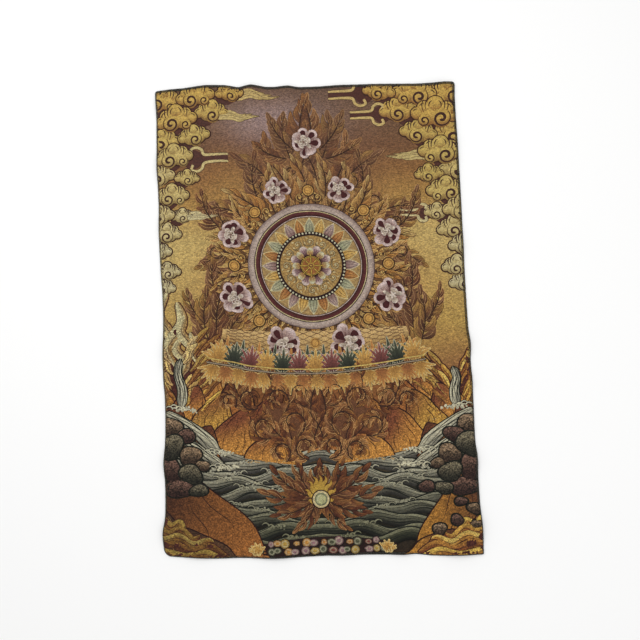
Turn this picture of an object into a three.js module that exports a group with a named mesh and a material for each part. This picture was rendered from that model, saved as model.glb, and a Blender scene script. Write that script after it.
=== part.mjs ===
// A thangka panel: one sheet of woven and embroidered silk brocade, its four edges overlocked with dark
// thread, lying face up on a flat surface. The middle of the cloth touches the surface, and its edges
// ripple a little. +Z is up, +Y runs to the top of the picture, and the origin is under the middle.
import * as THREE from "three";

// Driving dimensions, in millimetres.
const CUT = { left: -295, right: 298, bottom: -456, top: 458, thick: 1.2 };
const CELLS = { across: 24, along: 36 };
const EDGING = { lip: 2.6, thread: 0.6, gap: 0.3, mitreTrim: 0.22 };
const BAND = 3; // the strip of cloth along each edge that the edging grips
const HEM_LINE = 11; // the second line of the mesh in from each edge
const LEVEL_OFF = 26; // this far in, the cloth is back down from the edging's thickness
const CORNER_RADIUS = { topLeft: 4, topRight: 6, bottomRight: 2, bottomLeft: 13 };
const CLOTH_COLOUR = 0x8a6c45;
const THREAD_COLOUR = 0x2b2c22;

// How far each edge strays outward from the straight cut. `at` is a place along the edge.
const EDGE_STRAY = {
  left: [
    { at: -456, out: -1.4 },
    { at: -417, out: 0.5 },
    { at: -384, out: -3.5 },
    { at: -328, out: -4.4 },
    { at: -283, out: -2.8 },
    { at: -226, out: -6.1 },
    { at: -158, out: -6 },
    { at: -123, out: -3.4 },
    { at: -65, out: -3.6 },
    { at: 0, out: -4.8 },
    { at: 52, out: -3.6 },
    { at: 76, out: -2 },
    { at: 150, out: 1.2 },
    { at: 220, out: 1.1 },
    { at: 305, out: 3.5 },
    { at: 350, out: 3.7 },
    { at: 415, out: 3.5 },
    { at: 458, out: 5.6 },
  ],
  right: [
    { at: -456, out: 4.3 },
    { at: -411, out: 4.6 },
    { at: -367, out: 2.3 },
    { at: -312, out: 1.6 },
    { at: -278, out: 2 },
    { at: -245, out: -0.4 },
    { at: -177, out: 0 },
    { at: -132, out: -0.1 },
    { at: -98, out: -1 },
    { at: -63, out: 0.3 },
    { at: -29, out: -2.3 },
    { at: 52, out: -3.3 },
    { at: 134, out: -3.2 },
    { at: 220, out: -3 },
    { at: 290, out: -3.4 },
    { at: 423, out: -4.8 },
    { at: 458, out: -3.4 },
  ],
  bottom: [
    { at: -295, out: -9.3 },
    { at: -255, out: -5.9 },
    { at: -198, out: -2.5 },
    { at: -153, out: -2.6 },
    { at: -96, out: -0.3 },
    { at: -62, out: -0.7 },
    { at: 5, out: -2.6 },
    { at: 39, out: -2.5 },
    { at: 84, out: -2.8 },
    { at: 151, out: -1.2 },
    { at: 173, out: -1.7 },
    { at: 207, out: 1.9 },
    { at: 262, out: 2.5 },
    { at: 298, out: 2 },
  ],
  top: [
    { at: -295, out: 1.6 },
    { at: -260, out: 4.7 },
    { at: -213, out: 5.7 },
    { at: -187, out: 8 },
    { at: -166, out: 8.3 },
    { at: -151, out: 6.9 },
    { at: -127, out: 1.8 },
    { at: -103, out: 3.6 },
    { at: -67, out: -0.5 },
    { at: -31, out: -0.9 },
    { at: -7, out: -3.9 },
    { at: 76, out: -5 },
    { at: 136, out: -4.8 },
    { at: 231, out: -8.8 },
    { at: 258, out: -9.4 },
    { at: 278, out: -8 },
    { at: 298, out: -8 },
  ],
};

// Where an edge lifts off the surface: a soft ridge that starts `lift` high at the edge, `half` wide on
// each side, and dies away `reach` into the cloth.
const EDGE_RIPPLES = [
  { side: "top", at: -205, half: 42, reach: 95, lift: 6 },
  { side: "top", at: -104, half: 32, reach: 130, lift: 6.5 },
  { side: "top", at: -30, half: 26, reach: 60, lift: 3.5 },
  { side: "top", at: 74, half: 50, reach: 70, lift: 3 },
  { side: "top", at: 262, half: 44, reach: 60, lift: 3.5 },
  { side: "left", at: 430, half: 34, reach: 55, lift: 3 },
  { side: "left", at: 300, half: 46, reach: 80, lift: 4.5 },
  { side: "left", at: 180, half: 40, reach: 50, lift: 2.5 },
  { side: "left", at: -72, half: 48, reach: 65, lift: 4 },
  { side: "left", at: -283, half: 38, reach: 60, lift: 5 },
  { side: "left", at: -412, half: 36, reach: 70, lift: 5.5 },
  { side: "right", at: 330, half: 60, reach: 50, lift: 2.5 },
  { side: "right", at: 130, half: 44, reach: 50, lift: 2.5 },
  { side: "right", at: -64, half: 30, reach: 60, lift: 4 },
  { side: "right", at: -134, half: 32, reach: 50, lift: 3.5 },
  { side: "right", at: -284, half: 34, reach: 60, lift: 4 },
  { side: "right", at: -404, half: 42, reach: 75, lift: 5.5 },
  { side: "bottom", at: -232, half: 40, reach: 50, lift: 3 },
  { side: "bottom", at: -84, half: 56, reach: 70, lift: 4.5 },
  { side: "bottom", at: 42, half: 34, reach: 45, lift: 2.5 },
  { side: "bottom", at: 150, half: 30, reach: 50, lift: 3.5 },
  { side: "bottom", at: 256, half: 50, reach: 75, lift: 5 },
];

// Low ridges left in the body of the cloth by folding: a middle, a direction and a size.
const CREASES = [
  { x: -84, y: 372, turn: 116, half: 30, length: 190, lift: 3.2 },
  { x: -196, y: 205, turn: 72, half: 26, length: 170, lift: 1.8 },
  { x: 168, y: 286, turn: 104, half: 28, length: 180, lift: 1.8 },
  { x: 214, y: -214, turn: 58, half: 26, length: 150, lift: 2.2 },
  { x: -150, y: -318, turn: 138, half: 28, length: 160, lift: 2.4 },
];

const lerp = THREE.MathUtils.lerp;
const smooth = THREE.MathUtils.smoothstep;

// A smooth curve through the rows of an edge's table.
function stray(rows, at) {
  const last = rows.length - 1;
  const next = rows.findIndex((row) => row.at > at);
  const k = next < 0 ? last - 1 : Math.max(next - 1, 0);
  const [before, a, b, after] = [Math.max(k - 1, 0), k, k + 1, Math.min(k + 2, last)].map((i) => rows[i]);
  const span = b.at - a.at;
  const t = THREE.MathUtils.clamp((at - a.at) / span, 0, 1);
  const slopeA = ((b.out - before.out) / (b.at - before.at)) * span;
  const slopeB = ((after.out - a.out) / (after.at - a.at)) * span;
  const t2 = t * t;
  const t3 = t2 * t;
  return (
    (2 * t3 - 3 * t2 + 1) * a.out + (t3 - 2 * t2 + t) * slopeA + (3 * t2 - 2 * t3) * b.out + (t3 - t2) * slopeB
  );
}

// Moves a point of the straight-cut rectangle that lies in a corner's square onto the round corner. Square
// lines round the corner's middle become arcs that keep their distance from the cut edge.
function roundCorner(x, y) {
  const toLeft = x < (CUT.left + CUT.right) / 2;
  const toTop = y > (CUT.bottom + CUT.top) / 2;
  const corner = (toTop ? "top" : "bottom") + (toLeft ? "Left" : "Right");
  const r = CORNER_RADIUS[corner];
  const cx = toLeft ? CUT.left + r : CUT.right - r;
  const cy = toTop ? CUT.top - r : CUT.bottom + r;
  const a = toLeft ? cx - x : x - cx;
  const b = toTop ? y - cy : cy - y;
  if (a <= 0 || b <= 0) return [x, y];
  const arc = Math.max(a, b);
  const angle = a > b ? (Math.PI / 4) * (b / a) : (Math.PI / 4) * (2 - a / b);
  const outX = arc * Math.cos(angle);
  const outY = arc * Math.sin(angle);
  return [toLeft ? cx - outX : cx + outX, toTop ? cy + outY : cy - outY];
}

// Where a point of the straight-cut rectangle lies in plan.
function plan(x, y) {
  const [rx, ry] = roundCorner(x, y);
  const across = (rx - CUT.left) / (CUT.right - CUT.left);
  const along = (ry - CUT.bottom) / (CUT.top - CUT.bottom);
  return [
    rx + lerp(-stray(EDGE_STRAY.left, ry), stray(EDGE_STRAY.right, ry), across),
    ry + lerp(-stray(EDGE_STRAY.bottom, rx), stray(EDGE_STRAY.top, rx), along),
  ];
}

// How high the cloth's underside is above the surface.
function rise(x, y) {
  const inFrom = { left: x - CUT.left, right: CUT.right - x, bottom: y - CUT.bottom, top: CUT.top - y };
  const nearest = Math.min(...Object.values(inFrom));
  let height = (EDGING.gap + EDGING.thread) * (1 - smooth(nearest, BAND, LEVEL_OFF));
  for (const ripple of EDGE_RIPPLES) {
    const s = ripple.side === "left" || ripple.side === "right" ? y : x;
    const side = 1 - smooth(Math.abs(s - ripple.at), 0, ripple.half);
    height += ripple.lift * side * (1 - smooth(inFrom[ripple.side], 0, ripple.reach));
  }
  for (const crease of CREASES) {
    const turn = THREE.MathUtils.degToRad(crease.turn);
    const along = (x - crease.x) * Math.cos(turn) + (y - crease.y) * Math.sin(turn);
    const off = (y - crease.y) * Math.cos(turn) - (x - crease.x) * Math.sin(turn);
    height +=
      crease.lift * (1 - smooth(Math.abs(off), 0, crease.half)) * (1 - smooth(Math.abs(along), 0, crease.length / 2));
  }
  return height;
}

// The point on the cloth's underside for a point of the straight-cut rectangle.
function underside(x, y) {
  return new THREE.Vector3(...plan(x, y), rise(x, y));
}

// The mesh lines from one cut edge to the other: two near each edge, and even cells between.
function lines(from, to, cells) {
  const inner = Array.from({ length: cells + 1 }, (_, i) =>
    lerp(from + HEM_LINE, to - HEM_LINE, i / cells),
  );
  return [from, from + BAND, ...inner, to - BAND, to];
}

const COLUMNS = lines(CUT.left, CUT.right, CELLS.across);
const ROWS = lines(CUT.bottom, CUT.top, CELLS.along);

function geometryOf(points, triangles) {
  const geometry = new THREE.BufferGeometry();
  geometry.setAttribute("position", new THREE.Float32BufferAttribute(points.flatMap((p) => p.toArray()), 3));
  geometry.setIndex(triangles.flat());
  geometry.computeVertexNormals();
  return geometry;
}

// The cloth: its underside, its face one thickness above, and the cut edge between them.
function clothSheet() {
  const up = new THREE.Vector3(0, 0, CUT.thick);
  const under = ROWS.flatMap((y) => COLUMNS.map((x) => underside(x, y)));
  const points = [...under, ...under.map((p) => p.clone().add(up))];
  const wide = COLUMNS.length;
  const tall = ROWS.length;
  const triangles = [];
  for (let j = 0; j < tall - 1; j += 1)
    for (let i = 0; i < wide - 1; i += 1) {
      const [a, b, c, d] = [j * wide + i, j * wide + i + 1, (j + 1) * wide + i + 1, (j + 1) * wide + i];
      const [at, bt, ct, dt] = [a, b, c, d].map((k) => k + under.length);
      triangles.push([a, c, b], [a, d, c], [at, bt, ct], [at, ct, dt]);
    }
  const rim = [
    ...COLUMNS.slice(1).map((_, i) => i),
    ...ROWS.slice(1).map((_, j) => (j + 1) * wide - 1),
    ...COLUMNS.slice(1).map((_, i) => tall * wide - 1 - i),
    ...ROWS.slice(1).map((_, j) => (tall - 1 - j) * wide),
  ];
  rim.forEach((a, k) => {
    const b = rim[(k + 1) % rim.length];
    triangles.push([a, b, b + under.length], [a, b + under.length, a + under.length]);
  });
  return geometryOf(points, triangles);
}

// The edging's section: `out` from the cut edge, `up` from the cloth's underside. It wraps the edge as a
// channel of thread, one gap clear of the cloth, with its outer corners taken off.
function edgingSection() {
  const { lip, thread, gap } = EDGING;
  const skin = gap + thread;
  const soften = thread / 2;
  const face = CUT.thick;
  return [
    { out: -lip, up: -skin },
    { out: skin - soften, up: -skin },
    { out: skin, up: -skin + soften },
    { out: skin, up: face + skin - soften },
    { out: skin - soften, up: face + skin },
    { out: -lip, up: face + skin },
    { out: -lip, up: face + gap },
    { out: gap, up: face + gap },
    { out: gap, up: -gap },
    { out: -lip, up: -gap },
  ];
}

// One side's edging. `edge` and `band` are matching points on the cut edge and one band in from it, going
// anticlockwise round the cloth. Both ends are mitred at the corners and trimmed a little.
function edgingStrip(edge, band) {
  const section = edgingSection();
  const n = section.length;
  const rings = edge.map((p, k) => {
    const inward = band[k].clone().sub(p);
    return section.map(({ out, up }) =>
      p.clone().addScaledVector(inward, -out / BAND).add(new THREE.Vector3(0, 0, up)),
    );
  });
  const trimTowards = (ring, neighbour) =>
    ring.map((p, i) => p.clone().addScaledVector(neighbour[i].clone().sub(p).normalize(), EDGING.mitreTrim));
  rings[0] = trimTowards(rings[0], rings[1]);
  rings[rings.length - 1] = trimTowards(rings[rings.length - 1], rings[rings.length - 2]);
  const triangles = [];
  for (let k = 0; k < rings.length - 1; k += 1)
    for (let i = 0; i < n; i += 1) {
      const [a, b] = [k * n + i, k * n + ((i + 1) % n)];
      triangles.push([a, b + n, b], [a, a + n, b + n]);
    }
  const outline = section.map(({ out, up }) => new THREE.Vector2(out, up));
  const first = (rings.length - 1) * n;
  for (const [a, b, c] of THREE.ShapeUtils.triangulateShape(outline, [])) {
    triangles.push([a, b, c], [first + a, first + c, first + b]);
  }
  return geometryOf(rings.flat(), triangles);
}

const innerX = { left: CUT.left + BAND, right: CUT.right - BAND };
const innerY = { bottom: CUT.bottom + BAND, top: CUT.top - BAND };
const within = (value, low, high) => THREE.MathUtils.clamp(value, low, high);
const SIDES = [
  { name: "edging_bottom", at: COLUMNS.map((x) => [x, CUT.bottom]) },
  { name: "edging_right", at: ROWS.map((y) => [CUT.right, y]) },
  { name: "edging_top", at: COLUMNS.toReversed().map((x) => [x, CUT.top]) },
  { name: "edging_left", at: ROWS.toReversed().map((y) => [CUT.left, y]) },
];

const thangka = new THREE.Group();
const cloth = new THREE.MeshStandardMaterial({ color: CLOTH_COLOUR, roughness: 0.75, metalness: 0 });
const thread = new THREE.MeshStandardMaterial({ color: THREAD_COLOUR, roughness: 0.85, metalness: 0 });

function addPart(name, geometry, material) {
  const mesh = new THREE.Mesh(geometry, material);
  mesh.name = name;
  thangka.add(mesh);
}

addPart("cloth_panel", clothSheet(), cloth);
for (const side of SIDES) {
  const edge = side.at.map(([x, y]) => underside(x, y));
  const band = side.at.map(([x, y]) =>
    underside(within(x, innerX.left, innerX.right), within(y, innerY.bottom, innerY.top)),
  );
  addPart(side.name, edgingStrip(edge, band), thread);
}

// The origin goes under the middle of the whole outline.
const box = new THREE.Box3().setFromObject(thangka);
const middle = box.getCenter(new THREE.Vector3());
for (const mesh of thangka.children) mesh.geometry.translate(-middle.x, -middle.y, -box.min.z);

export default thangka;
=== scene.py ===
"""The looks of the embroidered thangka: figured silk brocade with overlocked edges, lying face up.

Design places (x, y) are millimetres on the straight-cut rectangle that the cloth was woven as. Heights are
millimetres above its face. `place` maps both onto the cloth as it lies, in metres, in the frame's axes.
"""

import math

import bpy
import numpy as np
from mathutils import Euler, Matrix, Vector


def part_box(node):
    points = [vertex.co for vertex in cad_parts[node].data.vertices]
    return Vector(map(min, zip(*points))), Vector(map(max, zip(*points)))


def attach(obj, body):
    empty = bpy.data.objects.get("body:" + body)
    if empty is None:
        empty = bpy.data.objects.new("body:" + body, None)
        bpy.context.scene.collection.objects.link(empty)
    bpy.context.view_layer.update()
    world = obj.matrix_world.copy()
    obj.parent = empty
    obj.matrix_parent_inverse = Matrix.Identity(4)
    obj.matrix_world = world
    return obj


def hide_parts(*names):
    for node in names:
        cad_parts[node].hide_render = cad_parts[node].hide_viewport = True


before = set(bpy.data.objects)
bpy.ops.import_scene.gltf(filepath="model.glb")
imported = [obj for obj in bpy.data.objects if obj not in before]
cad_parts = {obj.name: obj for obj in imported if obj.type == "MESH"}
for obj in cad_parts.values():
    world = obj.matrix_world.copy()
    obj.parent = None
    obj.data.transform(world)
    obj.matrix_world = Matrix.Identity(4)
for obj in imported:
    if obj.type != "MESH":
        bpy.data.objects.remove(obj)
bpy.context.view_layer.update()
random = np.random.default_rng(24)
MM = 0.001
SIDES = (-1, 1)  # the design is symmetric about its upright middle line

# ---------------------------------------------------------------- the cloth as it lies

LEFT, RIGHT, BOTTOM, TOP = -295.0, 298.0, -456.0, 458.0
MID_X = (LEFT + RIGHT) / 2
MID_Y = (BOTTOM + TOP) / 2
THICK = 1.2
EDGING_LIFT = 0.9  # the edging's lower thread holds the cut edge this far off the surface
BAND = 3.0  # the strip of cloth along each edge that the edging grips
LEVEL_OFF = 26.0  # this far in, the cloth is back down from the edging's thickness
CORNER_RADIUS = {"top_left": 4.0, "top_right": 6.0, "bottom_right": 2.0, "bottom_left": 13.0}

# How far each edge strays outward from the straight cut. Each row is (at, out).
EDGE_STRAY = {
    "left": [
        (-456, -1.4), (-417, 0.5), (-384, -3.5), (-328, -4.4), (-283, -2.8), (-226, -6.1),
        (-158, -6), (-123, -3.4), (-65, -3.6), (0, -4.8), (52, -3.6), (76, -2),
        (150, 1.2), (220, 1.1), (305, 3.5), (350, 3.7), (415, 3.5), (458, 5.6),
    ],
    "right": [
        (-456, 4.3), (-411, 4.6), (-367, 2.3), (-312, 1.6), (-278, 2), (-245, -0.4),
        (-177, 0), (-132, -0.1), (-98, -1), (-63, 0.3), (-29, -2.3), (52, -3.3),
        (134, -3.2), (220, -3), (290, -3.4), (423, -4.8), (458, -3.4),
    ],
    "bottom": [
        (-295, -9.3), (-255, -5.9), (-198, -2.5), (-153, -2.6), (-96, -0.3), (-62, -0.7),
        (5, -2.6), (39, -2.5), (84, -2.8), (151, -1.2), (173, -1.7), (207, 1.9),
        (262, 2.5), (298, 2),
    ],
    "top": [
        (-295, 1.6), (-260, 4.7), (-213, 5.7), (-187, 8), (-166, 8.3), (-151, 6.9),
        (-127, 1.8), (-103, 3.6), (-67, -0.5), (-31, -0.9), (-7, -3.9), (76, -5),
        (136, -4.8), (231, -8.8), (258, -9.4), (278, -8), (298, -8),
    ],
}

# Soft ridges where an edge lifts off the surface. Each row is (side, at, half width, reach, lift).
EDGE_RIPPLES = [
    ("top", -205, 42, 95, 6), ("top", -104, 32, 130, 6.5), ("top", -30, 26, 60, 3.5),
    ("top", 74, 50, 70, 3), ("top", 262, 44, 60, 3.5), ("left", 430, 34, 55, 3),
    ("left", 300, 46, 80, 4.5), ("left", 180, 40, 50, 2.5), ("left", -72, 48, 65, 4),
    ("left", -283, 38, 60, 5), ("left", -412, 36, 70, 5.5), ("right", 330, 60, 50, 2.5),
    ("right", 130, 44, 50, 2.5), ("right", -64, 30, 60, 4), ("right", -134, 32, 50, 3.5),
    ("right", -284, 34, 60, 4), ("right", -404, 42, 75, 5.5), ("bottom", -232, 40, 50, 3),
    ("bottom", -84, 56, 70, 4.5), ("bottom", 42, 34, 45, 2.5), ("bottom", 150, 30, 50, 3.5),
    ("bottom", 256, 50, 75, 5),
]

# Low ridges left in the cloth by folding. Each row is (x, y, turn, half width, length, lift).
CREASES = [
    (-84, 372, 116, 30, 190, 3.2), (-196, 205, 72, 26, 170, 1.8),
    (168, 286, 104, 28, 180, 1.8), (214, -214, 58, 26, 150, 2.2),
    (-150, -318, 138, 28, 160, 2.4),
]


def smooth(value, low, high):
    """A soft step from 0 at `low` to 1 at `high`."""
    t = np.clip((value - low) / (high - low), 0.0, 1.0)
    return t * t * (3.0 - 2.0 * t)


def stray(side, at):
    """A smooth curve through the rows of an edge's table."""
    s, out = np.array(EDGE_STRAY[side], float).T
    slope = np.empty_like(out)
    slope[1:-1] = (out[2:] - out[:-2]) / (s[2:] - s[:-2])
    slope[0] = (out[1] - out[0]) / (s[1] - s[0])
    slope[-1] = (out[-1] - out[-2]) / (s[-1] - s[-2])
    k = np.clip(np.searchsorted(s, at, side="right") - 1, 0, len(s) - 2)
    span = s[k + 1] - s[k]
    t = np.clip((at - s[k]) / span, 0.0, 1.0)
    t2, t3 = t * t, t * t * t
    from_a = (2 * t3 - 3 * t2 + 1) * out[k] + (t3 - 2 * t2 + t) * slope[k] * span
    from_b = (3 * t2 - 2 * t3) * out[k + 1] + (t3 - t2) * slope[k + 1] * span
    return from_a + from_b


def round_corners(x, y):
    """Moves the places in each corner's square onto the round corner, as the CAD does."""
    to_left, to_top = x < MID_X, y > MID_Y
    top_r = np.where(to_left, CORNER_RADIUS["top_left"], CORNER_RADIUS["top_right"])
    bottom_r = np.where(to_left, CORNER_RADIUS["bottom_left"], CORNER_RADIUS["bottom_right"])
    r = np.where(to_top, top_r, bottom_r)
    cx = np.where(to_left, LEFT + r, RIGHT - r)
    cy = np.where(to_top, TOP - r, BOTTOM + r)
    a = np.where(to_left, cx - x, x - cx)
    b = np.where(to_top, y - cy, cy - y)
    in_corner = (a > 0) & (b > 0)
    reach = np.maximum(a, b)
    low_over_high = np.minimum(a, b) / np.where(in_corner, reach, 1.0)
    angle = math.pi / 4 * np.where(a > b, low_over_high, 2.0 - low_over_high)
    out_x, out_y = reach * np.cos(angle), reach * np.sin(angle)
    round_x = np.where(to_left, cx - out_x, cx + out_x)
    round_y = np.where(to_top, cy + out_y, cy - out_y)
    return np.where(in_corner, round_x, x), np.where(in_corner, round_y, y)


def plan(x, y):
    """Where a place lies in plan, before the outline is centred."""
    rx, ry = round_corners(x, y)
    across = (rx - LEFT) / (RIGHT - LEFT)
    along = (ry - BOTTOM) / (TOP - BOTTOM)
    px = rx - stray("left", ry) * (1 - across) + stray("right", ry) * across
    py = ry - stray("bottom", rx) * (1 - along) + stray("top", rx) * along
    return px, py


def fine_unevenness(x, y, nearest):
    """Slight waves over the whole cloth, and puckers that the edge stitches draw in."""
    waves = 0.16 * (2 + np.sin(x / 23 + 1.7 * np.sin(y / 61)) + np.sin(y / 31 + 1.3 * np.sin(x / 47)))
    pucker = 0.22 * (2 + np.sin(x / 2.9 + np.sin(y / 41)) + np.sin(y / 3.3 + np.sin(x / 37)))
    return waves * smooth(nearest, 4, 60) + pucker * (1 - smooth(nearest, 2, 14))


def from_edges(x, y):
    """How far in a place is from each edge, and from the nearest one."""
    each = {"left": x - LEFT, "right": RIGHT - x, "bottom": y - BOTTOM, "top": TOP - y}
    return each, np.minimum.reduce(list(each.values()))


def rise(x, y):
    """How high the cloth's underside is above the surface."""
    from_edge, nearest = from_edges(x, y)
    height = EDGING_LIFT * (1 - smooth(nearest, BAND, LEVEL_OFF))
    for side, at, half, reach, lift in EDGE_RIPPLES:
        s = y if side in ("left", "right") else x
        bell = 1 - smooth(np.abs(s - at), 0, half)
        height = height + lift * bell * (1 - smooth(from_edge[side], 0, reach))
    for cx, cy, turn, half, length, lift in CREASES:
        c, s = math.cos(math.radians(turn)), math.sin(math.radians(turn))
        along = (x - cx) * c + (y - cy) * s
        off = (y - cy) * c - (x - cx) * s
        bell = lift * (1 - smooth(np.abs(off), 0, half))
        height = height + bell * (1 - smooth(np.abs(along), 0, length / 2))
    return height + fine_unevenness(x, y, nearest)


def cut_edges(count):
    """Places along each edge of the straight cut, from left to right or from bottom to top."""
    t = np.linspace(0, 1, count)
    x = LEFT + (RIGHT - LEFT) * t
    y = BOTTOM + (TOP - BOTTOM) * t
    return {
        "bottom": (x, np.full_like(x, BOTTOM)),
        "top": (x, np.full_like(x, TOP)),
        "left": (np.full_like(y, LEFT), y),
        "right": (np.full_like(y, RIGHT), y),
    }


def outline_middle():
    """The middle of the cloth's outline in plan, which the CAD puts over the origin."""
    sides = [plan(x, y) for x, y in cut_edges(400).values()]
    px = np.concatenate([s[0] for s in sides])
    py = np.concatenate([s[1] for s in sides])
    return (px.min() + px.max()) / 2, (py.min() + py.max()) / 2


panel_low, panel_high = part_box("cloth_panel")
OUTLINE_X, OUTLINE_Y = outline_middle()
SHIFT_X = (panel_low.x + panel_high.x) / 2 / MM - OUTLINE_X
SHIFT_Y = (panel_low.y + panel_high.y) / 2 / MM - OUTLINE_Y


def place(x, y, lift):
    """Points in metres, `lift` mm above the cloth's face."""
    px, py = plan(x, y)
    z = rise(x, y) + THICK + lift
    return np.stack([px + SHIFT_X, py + SHIFT_Y, z], -1) * MM


# ---------------------------------------------------------------- thread colours


def thread(code):
    """A colour of yarn, from its sRGB code to linear light."""
    srgb = np.array([int(code[i : i + 2], 16) for i in (1, 3, 5)]) / 255
    return np.where(srgb <= 0.04045, srgb / 12.92, ((srgb + 0.055) / 1.055) ** 2.4)


def threads(codes):
    """Several colours of yarn, from sRGB codes in one string."""
    return [thread(code) for code in codes.split()]


def mix(a, b, share):
    """Blends two colours, or rows of them, by a share or a grid of shares."""
    share = np.asarray(share, float)[..., None]
    return a * (1 - share) + b * share


def by_height(rows, column, y):
    """The tint at a height of the cloth, from a table whose rows start with y and go from top to bottom."""
    at = [row[0] for row in rows[::-1]]
    tints = np.array([thread(row[column]) for row in rows[::-1]])
    return np.stack([np.interp(y, at, tints[:, c]) for c in range(3)], -1)


MAROON, DARK_MAROON, WINE, MAUVE, PALE_MAUVE = threads("#3a1a17 #220f0e #582a2b #84686b #ad9a9e")
CREAM, PALE, YELLOW, GOLD, RUST = threads("#b7a980 #b3b096 #ad9040 #9d7733 #733d20")
BROWN, DARK_BROWN, PALE_GREEN, GREY_GREEN, BLACK_GREEN = threads("#5a3c25 #311f16 #a3a379 #6d725a #141712")

# ---------------------------------------------------------------- building joined pieces of thread work

SINK = 0.25  # the border of each patch of thread dips this far under the cloth's face
LAYER = 0.1  # each layer of thread work lies this much higher than the last
CROWN = 0.07  # a patch is this much higher in its middle
STROKE = 0.15  # a thin thread stands this far above the layer that it is laid on
KEEP_IN = 1.2  # thread work stops this far in from the cut edge, under the overlocking
PRESSED = 0.35  # the share of its height that thread work keeps at the edge, where it is sewn down


def grid_quads(index):
    """The quads of a grid, from the number of each of its places."""
    corners = [index[:-1, :-1], index[:-1, 1:], index[1:, 1:], index[1:, :-1]]
    return np.stack([c.ravel() for c in corners], -1)


def link(name, data):
    """Puts data into the scene as an object."""
    thing = bpy.data.objects.new(name, data)
    bpy.context.scene.collection.objects.link(thing)
    return thing


class Piece:
    """Patches of thread work that share a material, joined into one mesh."""

    def __init__(self, name):
        self.name = name
        self.points, self.quads, self.tints, self.lays = [], [], [], []
        self.count = 0

    def patch(self, x, y, lift, tint, lay, closed=False):
        """Adds a grid of places, rows by columns. `lay` is how each lies along and across the thread."""
        shape = x.shape
        inside = (x > LEFT + KEEP_IN) & (x < RIGHT - KEEP_IN) & (y > BOTTOM + KEEP_IN) & (y < TOP - KEEP_IN)
        x = np.clip(x, LEFT + KEEP_IN, RIGHT - KEEP_IN)
        y = np.clip(y, BOTTOM + KEEP_IN, TOP - KEEP_IN)
        index = np.arange(x.size).reshape(shape)
        if closed:
            index = np.vstack([index, index[:1]])
        quads = grid_quads(index)
        quads = quads[inside.ravel()[quads].any(1)]
        used, quads = np.unique(quads, return_inverse=True)
        if not len(used):
            return
        lift = lift * (PRESSED + (1 - PRESSED) * smooth(from_edges(x, y)[1], 2, 12))
        points = place(x, y, lift).reshape(-1, 3)
        tint = np.broadcast_to(tint, shape + (3,)).reshape(-1, 3)
        lay = np.broadcast_to(lay, shape + (2,)).reshape(-1, 2)
        self.points.append(points[used])
        self.tints.append(tint[used])
        self.lays.append(lay[used])
        self.quads.append(quads.reshape(-1, 4) + self.count)
        self.count += len(used)

    def build(self, material):
        """Joins the patches into one mesh and puts it into the scene."""
        parts = (self.points, self.quads, self.tints, self.lays)
        mesh = joined_mesh(self.name, *[np.concatenate(part) for part in parts])
        mesh.materials.append(material)
        return link(self.name, mesh)


def joined_mesh(name, points, quads, tints, lays):
    """A mesh of quads, with the tint of each point and how each lies along and across the thread."""
    mesh = bpy.data.meshes.new(name)
    mesh.vertices.add(len(points))
    mesh.vertices.foreach_set("co", points.astype(np.float32).ravel())
    mesh.loops.add(quads.size)
    mesh.loops.foreach_set("vertex_index", quads.astype(np.int32).ravel())
    mesh.polygons.add(len(quads))
    mesh.polygons.foreach_set("loop_start", np.arange(0, quads.size, 4, dtype=np.int32))
    mesh.polygons.foreach_set("use_smooth", np.ones(len(quads), bool))
    mesh.update(calc_edges=True)
    tint = mesh.color_attributes.new("tint", "FLOAT_COLOR", "POINT")
    tint.data.foreach_set("color", np.hstack([tints, np.ones((len(tints), 1))]).astype(np.float32).ravel())
    lay = mesh.uv_layers.new(name="lay")
    lay.data.foreach_set("uv", lays[quads.ravel()].astype(np.float32).ravel())
    mesh.validate()
    return mesh


def across_of(line, closed=False):
    """The direction across a line at each of its places, to the left of the way along it."""
    ahead = np.roll(line, -1, 0) - np.roll(line, 1, 0) if closed else np.gradient(line, axis=0)
    ahead /= np.linalg.norm(ahead, axis=1, keepdims=True) + 1e-9
    return np.stack([-ahead[:, 1], ahead[:, 0]], -1)


def run_along(line):
    """How far along a line each of its places is."""
    return np.hstack([0, np.cumsum(np.linalg.norm(np.diff(line, axis=0), axis=1))])


def beside(line, off):
    """A line that runs beside another one, `off` mm to its left."""
    return line + across_of(line) * np.broadcast_to(off, (len(line),))[:, None]


def sweep(piece, line, width, across, lift, tint, closed):
    """Spreads stations `across` a line, -1 to 1 over its width, each with its own lift."""
    n = len(line)
    width = np.broadcast_to(np.asarray(width, float), (n,))
    side = across_of(line, closed)
    x = line[:, :1] + side[:, :1] * across * width[:, None] / 2
    y = line[:, 1:] + side[:, 1:] * across * width[:, None] / 2
    run = run_along(line)
    if callable(tint):
        colours = tint(run[:, None] / run[-1] + 0 * across, across + 0 * run[:, None])
    else:
        colours = np.asarray(tint)
        colours = colours[:, None, :] if colours.ndim == 2 else colours
    lay = np.stack([run[:, None] + 0 * across, across * width[:, None] / 2], -1)
    piece.patch(x, y, np.broadcast_to(lift, x.shape), colours, lay, closed)


def ribbon(piece, line, width, tint, layer, closed=False, crown_width=None):
    """A padded band of thread along a line of places. Width may vary along it.

    `tint` is one colour, one for each place, or a function of the shares along (0 to 1) and across (-1 to 1).
    """
    line = np.asarray(line, float)
    broad = crown_width or np.max(width)
    edge = 0.72 if broad < 3 else 1 - min(0.3, 1.0 / broad)
    inner = np.linspace(-edge, edge, 2 if broad < 3 else max(3, int(broad / 5) + 2))
    across = np.hstack([-1, inner, 1])
    lift = np.hstack([-SINK, layer * LAYER + CROWN * (1 - (inner / edge) ** 2), -SINK])
    sweep(piece, line, width, across, lift, tint, closed)


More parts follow.
